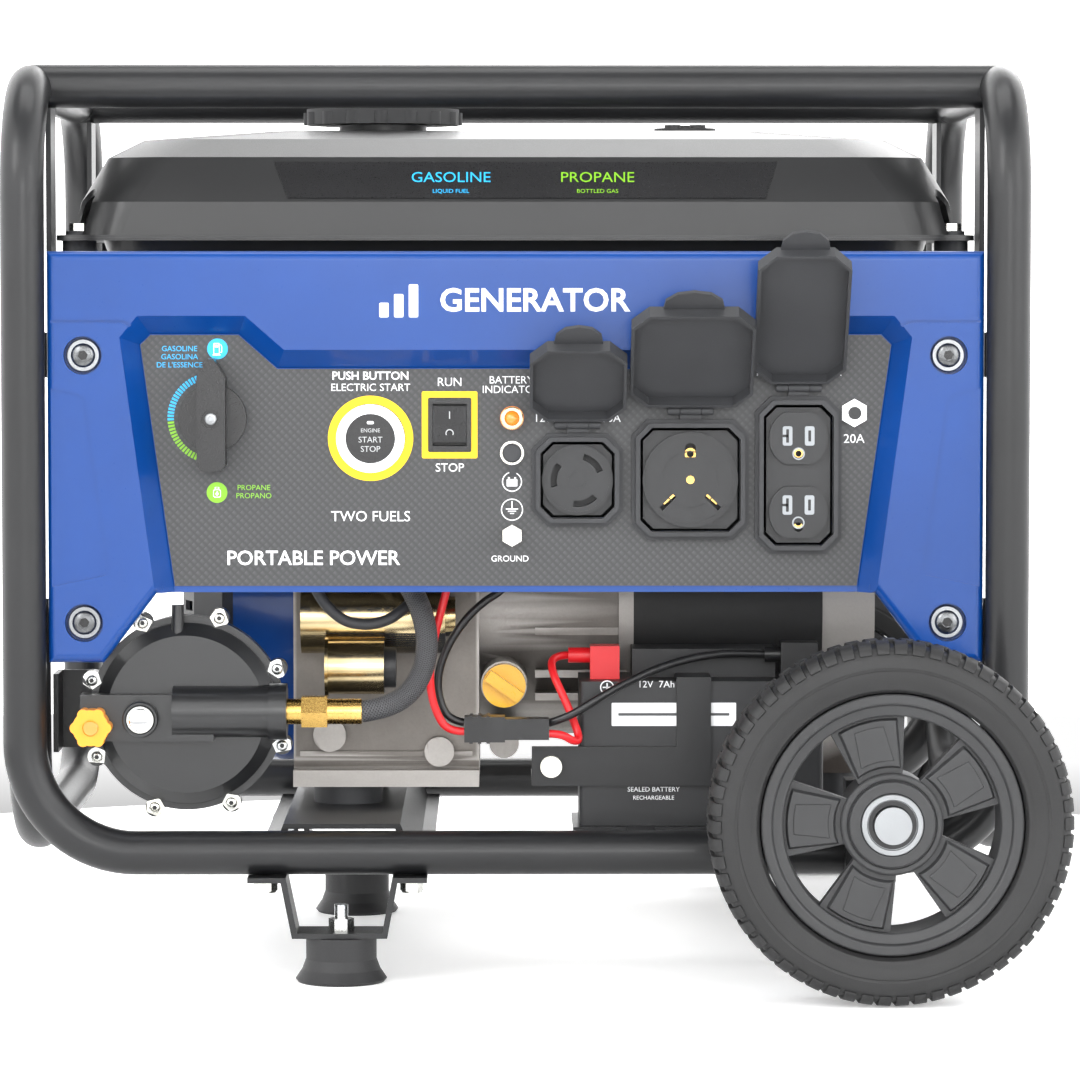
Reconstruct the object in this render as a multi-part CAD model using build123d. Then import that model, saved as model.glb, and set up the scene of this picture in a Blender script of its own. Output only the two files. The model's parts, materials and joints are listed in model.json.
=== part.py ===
from build123d import *
from math import cos, hypot, pi, radians, sin, tan
import os

# Portable dual-fuel generator in an open tube frame.
# Millimetres, +Z up, the control panel faces -Y, the ground is Z = 0.
# Shapes are drawn about the frame's own centre and moved by ORIGIN_SHIFT at the end,
# so that the origin is the bottom centre of the whole generator with its wheels.

# ---- frame ----
TUBE_R = 12.7
TUBE_WALL = 1.6
POST_X = 284.2
POST_Y = 202.5
RAIL_Z = 74.8
TOP_Z = 519.8
BEND_R = 64.0
CROSS_TUBE_Y = 142.5
SIDE_TUBE_Z = 80.0
SIDE_TUBE_Y = POST_Y - 2 * TUBE_R - 0.2
SIDE_LEG_TOP_Z = 215.0
PLUG_THICK = 2.0
RAIL_BOTTOM = RAIL_Z - TUBE_R
FIT_GAP = 0.2

# ---- wheels ----
WHEEL_X = 209.8
WHEEL_Y = 287.5
WHEEL_R = 102.8
WHEEL_WIDTH = 49.0
RIM_R = 74.0
RIM_BORE_R = 61.0
HUB_R = 29.0
HUB_LENGTH = 42.0
AXLE_R = 6.0
AXLE_FIT = 0.05
SPOKES = 5
ORIGIN_SHIFT = -(WHEEL_X + WHEEL_R - POST_X - TUBE_R) / 2

# ---- feet and supports ----
FOOT_X = -101.5
FOOT_Y = (-POST_Y, 95.0)
FOOT_HEIGHT = 26.4
FOOT_R = 20.5
FOOT_FLARE_R = 26.5
STRAP_THICK = 3.0
ENGINE_BASE_Z = 101.0
ENGINE_CHANNEL_TOP = 90.0
ALTERNATOR_CHANNEL_TOP = 76.0
ALTERNATOR_FOOT_X = 200.0

# ---- front panel ----
PANEL_FRONT = -205.0
PANEL_DEPTH = 16.0
PANEL_HALF = 270.4
PANEL_TOP = 423.0
PANEL_BOTTOM = 225.5
EAR_BOTTOM = 185.4
SHEET = 2.0
EDGE_R = 5.0
PLATE_FRONT = -193.0
PLATE_THICK = 0.9
PRESSING_DEPTH = 0.8
END_PRESSING = ((268.0, 344.0), (252.0, 340.5), (248.6, 337.0), (235.0, 239.5), (237.0, 236.0),
                (268.0, 229.5))
STEP_LINE = ((268.0, 383.2), (226.0, 383.2), (219.0, 379.4), (220.2, 378.0), (226.6, 381.6), (268.0, 381.6))
BOLT_X = 249.6
BOLT_Z = (363.0, 208.5)
BOX_DEPTH = 62.0
BOX_BOTTOM = 251.0
BOX_TOP = 392.0

# ---- controls on the panel: centre x, z ----
KNOB = (-175.4, 326.6)
START = (-84.2, 314.8)
ROCKER = (-38.4, 322.6)
LAMP = (-2.3, 326.6)
JACK = (-2.3, 306.4)
GROUND = (-2.3, 258.5)
BREAKER = (195.9, 329.5)
BUTTON_R = 14.2
ROCKER_PIVOT_IN = 3.0
ROCKER_PIN_R = 1.6
START_RING_R = 19.8
STUD_R = 3.0

# ---- outlets: centre x, z, bezel width, bezel height, cover height ----
OUTLETS = {
    "small": (35.6, 290.8, 52.6, 54.0, 55.5),
    "medium": (100.9, 290.9, 67.6, 69.9, 71.0),
    "tall": (163.5, 293.5, 50.0, 91.3, 93.0),
}
COVER_OPEN_ANGLE = {"small": 138.0, "medium": 138.0, "tall": 142.0}
COVER_DEPTH = 8.6
COVER_WALL = 1.8
COVER_DROP = 0.4
HINGE_RISE = 5.2
HINGE_PIN_R = 1.2
KNUCKLE_R = 2.6
COLLAR_INSET = 2.2
COLLAR_FRONT = PLATE_FRONT - 7.6
FLANGE_THICK = 3.0
SOCKET_FRONT = PLATE_FRONT - 5.0

# ---- fuel tank ----
TANK_SEAM_Z = 431.0
TANK_FLANGE = 1.6
TANK_SECTIONS = ((431.0, 261.0, 159.0, 30), (452.0, 257.0, 155.0, 34), (478.5, 243.0, 139.0, 40),
                 (490.0, 224.0, 105.0, 40), (496.5, 150.0, 55.0, 30))
TANK_BOTTOM_Z = 398.0
CAP_X = -81.5
CAP_R = 49.0
CAP_TOP = 511.0
NECK_R = 27.0
GAUGE_X = 105.0

# ---- engine and alternator, on one shaft along X ----
SHAFT_Y = 25.0
SHAFT_Z = 206.0
SHAFT_R = 10.0
CASE_X = (-134.0, -22.0)
CASE_Y = (-85.0, 85.0)
CASE_TOP = 290.0
ADAPTOR_END = 72.0
STATOR_END = 187.0
COVER_END = 219.0
STATOR_R = 88.0
STATOR_BORE = 62.0
SHROUD_R = 100.0
SHROUD_X = (-171.0, -134.2)
CYLINDER_TILT = 25.0
CYLINDER_BORE = 34.0
MUFFLER = (150.0, 292.0, 44.0)

# ---- gas regulator ----
REG_X = -192.5
REG_Z = 153.3
REG_R = 52.0
REG_LOBE_R = 58.8
REG_BACK = -141.0
REG_SEAM = -165.0
CAP_POS = (-246.3, 147.4)
PRIMER_POS = (-218.2, 151.5)
HOSE_R = 6.5
LEAD_R = 2.4

# ---- battery ----
BATTERY_X = (38.0, 183.0)
BATTERY_Y = (-132.0, -67.0)
BATTERY_Z = (82.0, 168.0)
CONNECTOR = (-5.4, -146.0, 141.4)


# ---- plain shapes ----
def block(x0, x1, y0, y1, z0, z1):
    centre = Pos((x0 + x1) / 2, (y0 + y1) / 2, (z0 + z1) / 2)
    return centre * Box(abs(x1 - x0), abs(y1 - y0), abs(z1 - z0))


def rod_x(x0, x1, y, z, r):
    return Pos((x0 + x1) / 2, y, z) * Rot(0, 90, 0) * Cylinder(r, abs(x1 - x0))


def rod_y(x, z, y0, y1, r):
    return Pos(x, (y0 + y1) / 2, z) * Rot(90, 0, 0) * Cylinder(r, abs(y1 - y0))


def rod_z(x, y, z0, z1, r):
    return Pos(x, y, (z0 + z1) / 2) * Cylinder(r, abs(z1 - z0))


def hex_y(x, z, y0, y1, r):
    sketch = Plane(origin=(x, y0, z), z_dir=(0, 1 if y1 > y0 else -1, 0)) * RegularPolygon(r, 6)
    return extrude(sketch, abs(y1 - y0))


def hex_z(x, y, z0, z1, r):
    return extrude(Plane(origin=(x, y, z0)) * RegularPolygon(r, 6), z1 - z0)


def outline_xz(points, y0, y1):
    """A closed outline of (x, z) points, extruded from y0 to y1."""
    face = make_face(Polyline(*[(x, y0, z) for x, z in points], close=True))
    return extrude(face, abs(y1 - y0), dir=(0, 1 if y1 > y0 else -1, 0))


def outline_yz(points, x0, x1):
    face = make_face(Polyline(*[(x0, y, z) for y, z in points], close=True))
    return extrude(face, x1 - x0, dir=(1, 0, 0))


def octagon(x, z, width, height, chamfer):
    w = width / 2
    h = height / 2
    corners = [(w - chamfer, h), (w, h - chamfer), (w, chamfer - h), (w - chamfer, -h)]
    return [(x + a, z + b) for a, b in corners] + [(x - a, z + b) for a, b in reversed(corners)]


def both_ends(shape):
    return shape + mirror(shape, Plane.XZ)


def both_sides(shape):
    return shape + mirror(shape, Plane.YZ)


def group(*shapes):
    """Separate solids that share one node."""
    return Compound([solid for shape in shapes for solid in shape.solids()])


def swept(points, radii, r, wall=0.0):
    path = FilletPolyline(*points, radius=radii)
    ends = Plane(origin=path @ 0, z_dir=path % 0)
    shape = sweep(ends * Circle(r), path=path)
    if wall:
        shape -= sweep(ends * Circle(r - wall), path=path)
    return shape


def cord(name, points, r, folds=()):
    """A cord on straight runs and tangent arcs; folds lists corners bent tightly."""
    corners = [Vector(*p) for p in points]
    radii = []
    for i in range(1, len(corners) - 1):
        before = corners[i] - corners[i - 1]
        after = corners[i + 1] - corners[i]
        half = radians(before.get_angle(after)) / 2
        radii.append(0.45 * min(before.length, after.length) / tan(half))
    path = FilletPolyline(*points, radius=radii)
    solid = sweep(Plane(origin=path @ 0, z_dir=path % 0) * Circle(r), path=path)
    expected = pi * r * r * path.length
    tight = ["fold" if i in folds else "arc" for i in range(len(radii))]
    print(name, "length", round(path.length, 1), "volume ratio", round(solid.volume / expected, 4))
    print("   radii", [(kind, round(value, 1)) for kind, value in zip(tight, radii)])
    return solid


# ---- frame ----
def front_frame(wall):
    points = [(-POST_X, 0, TOP_Z), (-POST_X, -POST_Y, TOP_Z), (-POST_X, -POST_Y, RAIL_Z),
              (POST_X, -POST_Y, RAIL_Z), (POST_X, -POST_Y, TOP_Z), (POST_X, 0, TOP_Z)]
    return swept(points, [BEND_R] * 4, TUBE_R, wall)


def frame_front_tube():
    return front_frame(TUBE_WALL)


def frame_rear_tube():
    return mirror(frame_front_tube(), Plane.XZ)


def top_cross_tubes():
    tube = rod_x(-POST_X, POST_X, -CROSS_TUBE_Y, TOP_Z, TUBE_R)
    tube -= rod_x(-POST_X, POST_X, -CROSS_TUBE_Y, TOP_Z, TUBE_R - TUBE_WALL)
    tube -= front_frame(0)
    tube = tube.solids().sort_by(SortBy.VOLUME)[-1]
    return group(tube, mirror(tube, Plane.XZ))


def lower_side_tubes():
    points = [(POST_X, -SIDE_TUBE_Y, SIDE_LEG_TOP_Z), (POST_X, -SIDE_TUBE_Y, SIDE_TUBE_Z),
              (POST_X, SIDE_TUBE_Y, SIDE_TUBE_Z), (POST_X, SIDE_TUBE_Y, SIDE_LEG_TOP_Z)]
    tube = swept(points, [BEND_R] * 2, TUBE_R, TUBE_WALL)
    for y in (-SIDE_TUBE_Y, SIDE_TUBE_Y):
        tube += rod_z(POST_X, y, SIDE_LEG_TOP_Z - PLUG_THICK, SIDE_LEG_TOP_Z, TUBE_R)
    return group(tube, mirror(tube, Plane.YZ))


def hat_channel(x, half_top, half_base, top_z):
    """A pressed channel, running front to rear between the two lower rails."""
    base_z = RAIL_BOTTOM
    t = STRAP_THICK
    outer = [(x - half_base, base_z), (x - half_base, base_z + t), (x - half_base + 8, base_z + t),
             (x - half_top, top_z), (x + half_top, top_z), (x + half_base - 8, base_z + t),
             (x + half_base, base_z + t), (x + half_base, base_z), (x + half_base - 10, base_z),
             (x + half_top - t, top_z - t), (x - half_top + t, top_z - t), (x - half_base + 10, base_z)]
    end = POST_Y - TUBE_R - FIT_GAP
    return outline_xz(outer, -end, end)


def support_channels():
    engine = hat_channel(FOOT_X, 34, 52, ENGINE_CHANNEL_TOP)
    alternator = hat_channel(ALTERNATOR_FOOT_X, 26, 40, ALTERNATOR_CHANNEL_TOP)
    return group(engine, alternator)


def axle_saddle():
    """Block welded over the lower rail, which carries the stub axle."""
    saddle = block(WHEEL_X - 20, WHEEL_X + 9, -POST_Y - 20, -POST_Y, RAIL_BOTTOM - 2, WHEEL_R + 16)
    saddle -= rod_x(WHEEL_X - 30, WHEEL_X + 30, -POST_Y, RAIL_Z, TUBE_R + 0.05)
    saddle -= rod_y(WHEEL_X, WHEEL_R, -POST_Y - 30, -POST_Y + 30, AXLE_R + AXLE_FIT)
    return saddle


def panel_tabs():
    back = PANEL_FRONT + PANEL_DEPTH + 0.1
    shape = None
    for z in BOLT_Z:
        tab = block(232, 273, back, back + 2.5, z - 13, z + 13)
        tab -= rod_y(BOLT_X, z, back - 1, back + 5, 3.3)
        shape = tab if shape is None else shape + tab
    return both_sides(shape)


def tank_ledges():
    """Short angle brackets between the side rails, under the tank's corner mounts."""
    ledge = block(251, 275.2, -152, -122, 417, 420)
    ledge += block(272.2, 275.2, -152, -122, 417, TOP_Z - TUBE_R - FIT_GAP)
    ledge -= rod_z(257, -137, 410, 425, 7.2)
    return both_ends(both_sides(ledge))


def regulator_bracket():
    back = REG_BACK
    plate = block(-268, REG_X + 20, back, back + 3, 130, 176)
    return plate + block(-271, -268, -170, back + 3, 130, 176)


def frame_brackets():
    return group(both_ends(axle_saddle()), panel_tabs(), tank_ledges(), regulator_bracket())


def wheel_axles():
    """A stub axle with a shoulder behind the wheel and a retaining cap in front of it."""
    tip = WHEEL_Y + HUB_LENGTH / 2 + 3.5
    axle = rod_y(WHEEL_X, WHEEL_R, -tip, -POST_Y + 4, AXLE_R)
    axle += rod_y(WHEEL_X, WHEEL_R, -(WHEEL_Y - HUB_LENGTH / 2 - 0.3), -POST_Y - 20.1, 10)
    axle += rod_y(WHEEL_X, WHEEL_R, -tip, -tip + 3, 10.5)
    return group(axle, mirror(axle, Plane.XZ))


# ---- feet ----
def foot_strap(y):
    """Bent strap: two flanges under the rail and a lower seat for the rubber foot."""
    t = STRAP_THICK
    top = RAIL_BOTTOM - FIT_GAP
    seat = FOOT_HEIGHT + FIT_GAP
    left = [(-53.7, top), (-53.7, top - t), (-34.5, top - t), (-28, seat), (27.0, seat)]
    right = [(33.0, top - t), (50.0, top - t), (50.0, top), (30.0, top), (24.0, seat + t)]
    back = [(-25.0, seat + t), (-31.5, top)]
    points = [(FOOT_X + a, b) for a, b in left + right + back]
    strap = outline_xz(points, y - 16, y + 16)
    strap -= rod_z(FOOT_X, y, seat - 5, seat + 10, 4.2)
    return strap


def foot_brackets():
    return group(*[foot_strap(y) for y in FOOT_Y])


def rubber_foot(y):
    flare = FOOT_FLARE_R
    side = Polyline((0, 0, 0), (flare - 1.5, 0, 0), (flare, 0, 1.8), (FOOT_R + 2.2, 0, 7.5))
    neck = Polyline((FOOT_R, 0, 13.5), (FOOT_R, 0, FOOT_HEIGHT), (0, 0, FOOT_HEIGHT), (0, 0, 0))
    blend = Line((FOOT_R + 2.2, 0, 7.5), (FOOT_R, 0, 13.5))
    foot = revolve(make_face(Wire(side.edges() + blend.edges() + neck.edges())), Axis.Z)
    foot -= rod_z(0, 0, FOOT_HEIGHT - 12, FOOT_HEIGHT + 1, 4.05)
    return Pos(FOOT_X, y, 0) * foot


def rubber_feet():
    return group(*[rubber_foot(y) for y in FOOT_Y])


def foot_hardware(y):
    seat = FOOT_HEIGHT + FIT_GAP + STRAP_THICK
    stud = rod_z(FOOT_X, y, FOOT_HEIGHT - 12, seat + 15, 4) + hex_z(FOOT_X, y, seat + 0.1, seat + 7, 7.4)
    bolts = []
    for x in (FOOT_X - 43.7, FOOT_X + 41):
        head_top = RAIL_BOTTOM - FIT_GAP - STRAP_THICK - 0.1
        bolts.append(hex_z(x, y, head_top - 6, head_top, 6.8) + rod_z(x, y, head_top - 7, head_top, 6.0))
    return [stud] + bolts


def tank_bolt(x, y):
    return hex_z(x, y, TANK_SEAM_Z + 4.1, TANK_SEAM_Z + 8.5, 6.0) + rod_z(x, y, 412, TANK_SEAM_Z + 6, 3)


def bolts():
    parts = []
    for y in FOOT_Y:
        parts += foot_hardware(y)
    for x in (-257, 257):
        parts += [tank_bolt(x, y) for y in (-137, 137)]
    for x in (-BOLT_X, BOLT_X):
        for z in BOLT_Z:
            head = rod_y(x, z, PANEL_FRONT + 3.0, PANEL_FRONT + 7.9, 6.6)
            shank = rod_y(x, z, PANEL_FRONT + 5, PANEL_FRONT + PANEL_DEPTH + 6, 3)
            socket = hex_y(x, z, PANEL_FRONT + 2.9, PANEL_FRONT + 5.5, 3.6)
            parts.append(head + shank - socket)
    return group(*parts)


# ---- wheels ----
def ring_y(profile, x, y, z):
    """A profile of (radius, offset) points turned about an axle along Y."""
    face = make_face(Polyline(*[(r, o, 0) for r, o in profile], close=True))
    return Pos(x, y, z) * revolve(face, Axis.Y)


def tyre(side):
    half = WHEEL_WIDTH / 2
    crown = WHEEL_R
    profile = [(RIM_R + 0.05, -half + 5), (RIM_R + 4, -half + 1.5), (86, -half), (94, -half + 1.5),
               (crown - 4, -half + 6), (crown, -half + 12)]
    profile += [(r, -o) for r, o in reversed(profile)]
    return ring_y(profile, WHEEL_X, side * WHEEL_Y, WHEEL_R)


def rim(side):
    """Barrel, five wide spokes and the hub with its bush bore."""
    face_y = -HUB_LENGTH / 2
    barrel = ring_y([(RIM_BORE_R, -16), (RIM_R, -21), (RIM_R, 21), (RIM_BORE_R, 16)], 0, 0, 0)
    disc = ring_y([(HUB_R - 6, -12), (RIM_BORE_R + 0.5, -12), (RIM_BORE_R + 0.5, -4),
                   (HUB_R - 6, -4)], 0, 0, 0)
    gap = 14.5
    inner = 30.0
    for i in range(SPOKES):
        turn = radians(32 + 36 + 360 / SPOKES * i)
        half = radians(gap)
        corners = [(inner * cos(turn), inner * sin(turn)),
                   (RIM_BORE_R * cos(turn - half), RIM_BORE_R * sin(turn - half)),
                   (RIM_BORE_R * 0.999 * cos(turn), RIM_BORE_R * 0.999 * sin(turn)),
                   (RIM_BORE_R * cos(turn + half), RIM_BORE_R * sin(turn + half))]
        disc -= outline_xz(corners, -20, 5)
    hub = ring_y([(10.0, face_y), (HUB_R - 4, face_y), (HUB_R, face_y + 4), (HUB_R, 4), (18, 4),
                  (18, -face_y), (10.0, -face_y)], 0, 0, 0)
    wheel = barrel + disc + hub
    bush = ring_y([(AXLE_R + AXLE_FIT, face_y), (9.95, face_y), (9.95, -face_y),
                   (AXLE_R + AXLE_FIT, -face_y)],
                  0, 0, 0)
    if side > 0:
        wheel = mirror(wheel, Plane.XZ)
        bush = mirror(bush, Plane.XZ)
    place = Pos(WHEEL_X, side * WHEEL_Y, WHEEL_R)
    return group(place * wheel, place * bush)


# ---- front panel ----
def panel_outline(inset=0.0):
    half = PANEL_HALF - inset
    ear = EAR_BOTTOM + inset
    low = PANEL_BOTTOM + inset
    right = [(208.0 + inset * 0.4, low), (238.5 + inset * 0.3, ear), (half, ear), (half, PANEL_TOP - inset)]
    return right + [(-x, z) for x, z in reversed(right)]


def recess_outline(grow):
    """Edge of the sunk control area: slanted sides and a stepped top."""
    g = grow
    right = [(196.8 + g, PANEL_BOTTOM - 30), (198 + g, 228.8), (217.4 + g, 369 + g * 0.4),
             (211.5 + g * 0.6, 374.8 + g),
             (160.4 - g * 0.4, 374.8 + g), (138.0 - g * 0.4, 355.2 + g)]
    return right + [(-x, z) for x, z in reversed(right)]


def loft_y(near, y_near, far, y_far):
    faces = []
    for points, y in ((near, y_near), (far, y_far)):
        faces.append(make_face(Polyline(*[(x, y, z) for x, z in points], close=True)))
    return loft(faces, ruled=True)


def front_panel():
    back = PANEL_FRONT + PANEL_DEPTH
    shell = outline_xz(panel_outline(), PANEL_FRONT, back)
    front_edges = shell.edges().filter_by(lambda e: abs(e.center().Y - PANEL_FRONT) < 0.01)
    shell = fillet(front_edges, EDGE_R)
    shell -= outline_xz(panel_outline(SHEET), PANEL_FRONT + EDGE_R, back + 1)
    inner = shell - outline_xz(panel_outline(7.5), PANEL_FRONT + SHEET, PANEL_FRONT + SHEET + 4)
    slope = 11.0
    floor_y = PLATE_FRONT + PLATE_THICK + 0.05
    keep = outline_xz(panel_outline(0.05), PANEL_FRONT + EDGE_R + 0.5, back)
    keep += outline_xz(panel_outline(EDGE_R), PANEL_FRONT + SHEET - 0.5, PANEL_FRONT + EDGE_R + 0.6)
    boss = loft_y(recess_outline(slope + SHEET), PANEL_FRONT, recess_outline(SHEET), floor_y + SHEET) & keep
    shell = inner + boss
    shell -= loft_y(recess_outline(slope), PANEL_FRONT - 0.01, recess_outline(0.15), floor_y)
    for x in (-BOLT_X, BOLT_X):
        for z in BOLT_Z:
            cup = rod_y(x, z, PANEL_FRONT + 1.0, back, 12.5)
            pocket = rod_y(x, z, PANEL_FRONT - 1, PANEL_FRONT + 8, 11)
            shell = shell + cup - pocket - rod_y(x, z, PANEL_FRONT, back + 1, 3.3)
    for x, z, w, h, _ in OUTLETS.values():
        shell -= block(x - w / 2 + 5, x + w / 2 - 5, PLATE_FRONT - 1, back, z - h / 2 + 5, z + h / 2 - 5)
    for (x, z), r in panel_holes():
        shell -= rod_y(x, z, PLATE_FRONT - 1, back, r)
    shell -= block(ROCKER[0] - 11, ROCKER[0] + 11, PLATE_FRONT - 1, back, ROCKER[1] - 13.5,
                   ROCKER[1] + 13.5)
    for side in (-1, 1):
        shell -= outline_xz([(side * x, z) for x, z in END_PRESSING], PANEL_FRONT - 1,
                            PANEL_FRONT + PRESSING_DEPTH)
        shell -= outline_xz([(side * x, z) for x, z in STEP_LINE], PANEL_FRONT - 1,
                            PANEL_FRONT + PRESSING_DEPTH)
    return shell.solids().sort_by(SortBy.VOLUME)[-1]


def panel_holes():
    return [(KNOB, 6.1), (START, 15.5), (LAMP, 5.2), (JACK, 5.2), (GROUND, STUD_R + 0.3), (BREAKER, 5.2)]


def control_plate():
    plate = outline_xz(recess_outline(-0.3), PLATE_FRONT, PLATE_FRONT + PLATE_THICK)
    plate -= block(-260, 260, PLATE_FRONT - 5, PLATE_FRONT + 5, 100, 229.2)
    for x, z, w, h, _ in OUTLETS.values():
        plate -= block(x - w / 2 + 5, x + w / 2 - 5, PLATE_FRONT - 1, PLATE_FRONT + 2,
                       z - h / 2 + 5, z + h / 2 - 5)
    for (x, z), r in panel_holes():
        plate -= rod_y(x, z, PLATE_FRONT - 1, PLATE_FRONT + 2, r)
    plate -= block(ROCKER[0] - 11, ROCKER[0] + 11, PLATE_FRONT - 1, PLATE_FRONT + 2,
                   ROCKER[1] - 13.5, ROCKER[1] + 13.5)
    return plate


def control_box():
    """Sheet-metal box behind the panel, open at the front."""
    front = PANEL_FRONT + PANEL_DEPTH + 0.1
    box = block(-205, 222, front, front + BOX_DEPTH, BOX_BOTTOM, BOX_TOP)
    box -= block(-203.6, 220.6, front - 1, front + BOX_DEPTH - 1.4, BOX_BOTTOM + 1.4, BOX_TOP - 1.4)
    return box


# ---- controls ----
def panel_fittings():
    """Bodies that stay still: start-switch bezel, rocker frame, lamp, charging jack, breaker."""
    face = PLATE_FRONT
    sx, sz = START
    ring = rod_y(sx, sz, face - 5.0, face - 0.05, START_RING_R) + rod_y(sx, sz, face - 1, face + 30, 15.4)
    ring -= rod_y(sx, sz, face - 10, face + 22, BUTTON_R + 0.15)
    rx, rz = ROCKER
    frame = block(rx - 12.4, rx + 12.4, face - 2.2, face - 0.05, rz - 15, rz + 15)
    frame += block(rx - 10.9, rx + 10.9, face - 1, face + 22, rz - 13.4, rz + 13.4)
    frame -= block(rx - 9.9, rx + 9.9, face - 5, face + 12, rz - 12.3, rz + 12.3)
    frame -= rod_x(rx - 13, rx + 13, face + ROCKER_PIVOT_IN, rz, ROCKER_PIN_R + 0.05)
    lx, lz = LAMP
    lamp = rod_y(lx, lz, face - 2.5, face - 0.05, 6.9) + rod_y(lx, lz, face - 5, face + 20, 5.0)
    jx, jz = JACK
    jack = rod_y(jx, jz, face - 3, face - 0.05, 6.9) + rod_y(jx, jz, face - 3, face + 20, 5.0)
    bx, bz = BREAKER
    breaker = hex_y(bx, bz, face - 3.2, face - 0.05, 8.2) + rod_y(bx, bz, face - 5.5, face + 26, 5.1)
    breaker -= rod_y(bx, bz, face - 10, face + 8, 3.75)
    return group(ring, frame, lamp, jack, breaker)


def start_button():
    x, z = START
    button = rod_y(x, z, PLATE_FRONT - 4.2, PLATE_FRONT + 15, BUTTON_R)
    return button


def rocker_switch():
    x, z = ROCKER
    y = PLATE_FRONT
    pivot_y = PLATE_FRONT + ROCKER_PIVOT_IN
    points = [(y - 5.4, z - 9.9), (y - 1.6, z), (y - 2.6, z + 10.9), (y + 5.0, z + 7.0), (y + 5.0, z - 7.0)]
    trunnion = rod_x(x - 10.8, x + 10.8, pivot_y, z, ROCKER_PIN_R)
    return outline_yz(points, x - 9.7, x + 9.7) + trunnion


def breaker_button():
    x, z = BREAKER
    return rod_y(x, z, PLATE_FRONT - 8.0, PLATE_FRONT + 5, 3.7)


def selector_knob():
    """Round skirt with a long tapered pointer; the pointer stands up at rest."""
    x, z = KNOB
    y = PLATE_FRONT
    knob = rod_y(x, z, y - 7, y - 0.3, 19.6)
    pointer = [(x - 8.2, z - 27), (x - 5.5, z - 30), (x + 5.5, z - 30), (x + 8.2, z - 27),
               (x + 8.2, z + 24),
               (x + 1.5, z + 34.6), (x - 1.5, z + 34.6), (x - 8.2, z + 24)]
    knob += outline_xz(pointer, y - 21, y - 1.5)
    knob += rod_y(x, z, y - 1, y + 26, 6.0)
    knob -= rod_y(x, z, y - 22, y - 19, 5.5)
    return knob


def ground_terminal():
    x, z = GROUND
    y = PLATE_FRONT
    stud = rod_y(x, z, y - 14, y + 20, STUD_R) + hex_y(x, z, y - 5.5, y - 0.1, 6.3)
    return stud


# ---- outlets ----
def bezel(name):
    x, z, w, h, cover_height = OUTLETS[name]
    face = PLATE_FRONT
    chamfer = 9.0
    shape = outline_xz(octagon(x, z, w, h, chamfer), face - FLANGE_THICK, face - 0.05)
    collar = octagon(x, z, w - 2 * COLLAR_INSET, h - 2 * COLLAR_INSET, chamfer - 1)
    shape += outline_xz(collar, COLLAR_FRONT, face - 1)
    bore = octagon(x, z, w - 2 * COLLAR_INSET - 5, h - 2 * COLLAR_INSET - 5, chamfer - 2)
    shape -= outline_xz(bore, COLLAR_FRONT - 1, face + 1)
    pivot_z = z + h / 2 + HINGE_RISE
    pivot_y = hinge_y()
    cover_top = z - COVER_DROP + cover_height / 2
    seat_y = face - FLANGE_THICK
    knuckle = rod_x(x - 6, x + 6, pivot_y, pivot_z, KNUCKLE_R)
    knuckle += block(x - 6, x + 6, pivot_y + 0.5, seat_y, cover_top + 0.4, pivot_z + 1.0)
    knuckle += block(x - 6, x + 6, seat_y, face - 0.05, z + h / 2 - 1.5, pivot_z + 1.0)
    pin = rod_x(x - 13.5, x + 13.5, pivot_y, pivot_z, HINGE_PIN_R)
    return shape + knuckle + pin


def hinge_y():
    return PLATE_FRONT - FLANGE_THICK - KNUCKLE_R - 0.6


def outlet_bezels():
    return group(*[bezel(name) for name in OUTLETS])


def cover(name):
    """Tray-shaped cover with a pull tab, drawn shut and swung open to its rest position."""
    x, z, w, h, height = OUTLETS[name]
    pivot_y = hinge_y()
    pivot_z = z + h / 2 + HINGE_RISE
    rim_y = PLATE_FRONT - FLANGE_THICK - 0.4
    back_y = rim_y - COVER_DEPTH
    mid = z - COVER_DROP
    width = w + 3.0
    tray = outline_xz(octagon(x, mid, width, height, 10), back_y, rim_y)
    hollow = octagon(x, mid, width - 2 * COVER_WALL, height - 2 * COVER_WALL, 9)
    tray -= outline_xz(hollow, back_y + COVER_WALL, rim_y + 1)
    low = mid - height / 2
    half_tab = 14.0 if name != "medium" else 17.5
    tab = [(x - half_tab, low + 1), (x - half_tab * 0.92, low - 6), (x - half_tab * 0.55, low - 11),
           (x, low - 12.5),
           (x + half_tab * 0.55, low - 11), (x + half_tab * 0.92, low - 6), (x + half_tab, low + 1)]
    tray += outline_xz(tab, back_y, back_y + 2.2)
    top = mid + height / 2
    for side in (-1, 1):
        x0 = x + side * 6.4
        x1 = x + side * 13.0
        strap = block(min(x0, x1), max(x0, x1), back_y, back_y + 2.4, top - 2, pivot_z)
        strap += block(min(x0, x1), max(x0, x1), back_y, pivot_y, pivot_z - 2.2, pivot_z + 2.2)
        strap += rod_x(min(x0, x1), max(x0, x1), pivot_y, pivot_z, KNUCKLE_R)
        strap -= rod_x(x - 20, x + 20, pivot_y, pivot_z, HINGE_PIN_R + 0.06)
        tray += strap
    pivot = Axis((x, pivot_y, pivot_z), (-1, 0, 0))
    return tray.rotate(pivot, COVER_OPEN_ANGLE[name])


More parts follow.
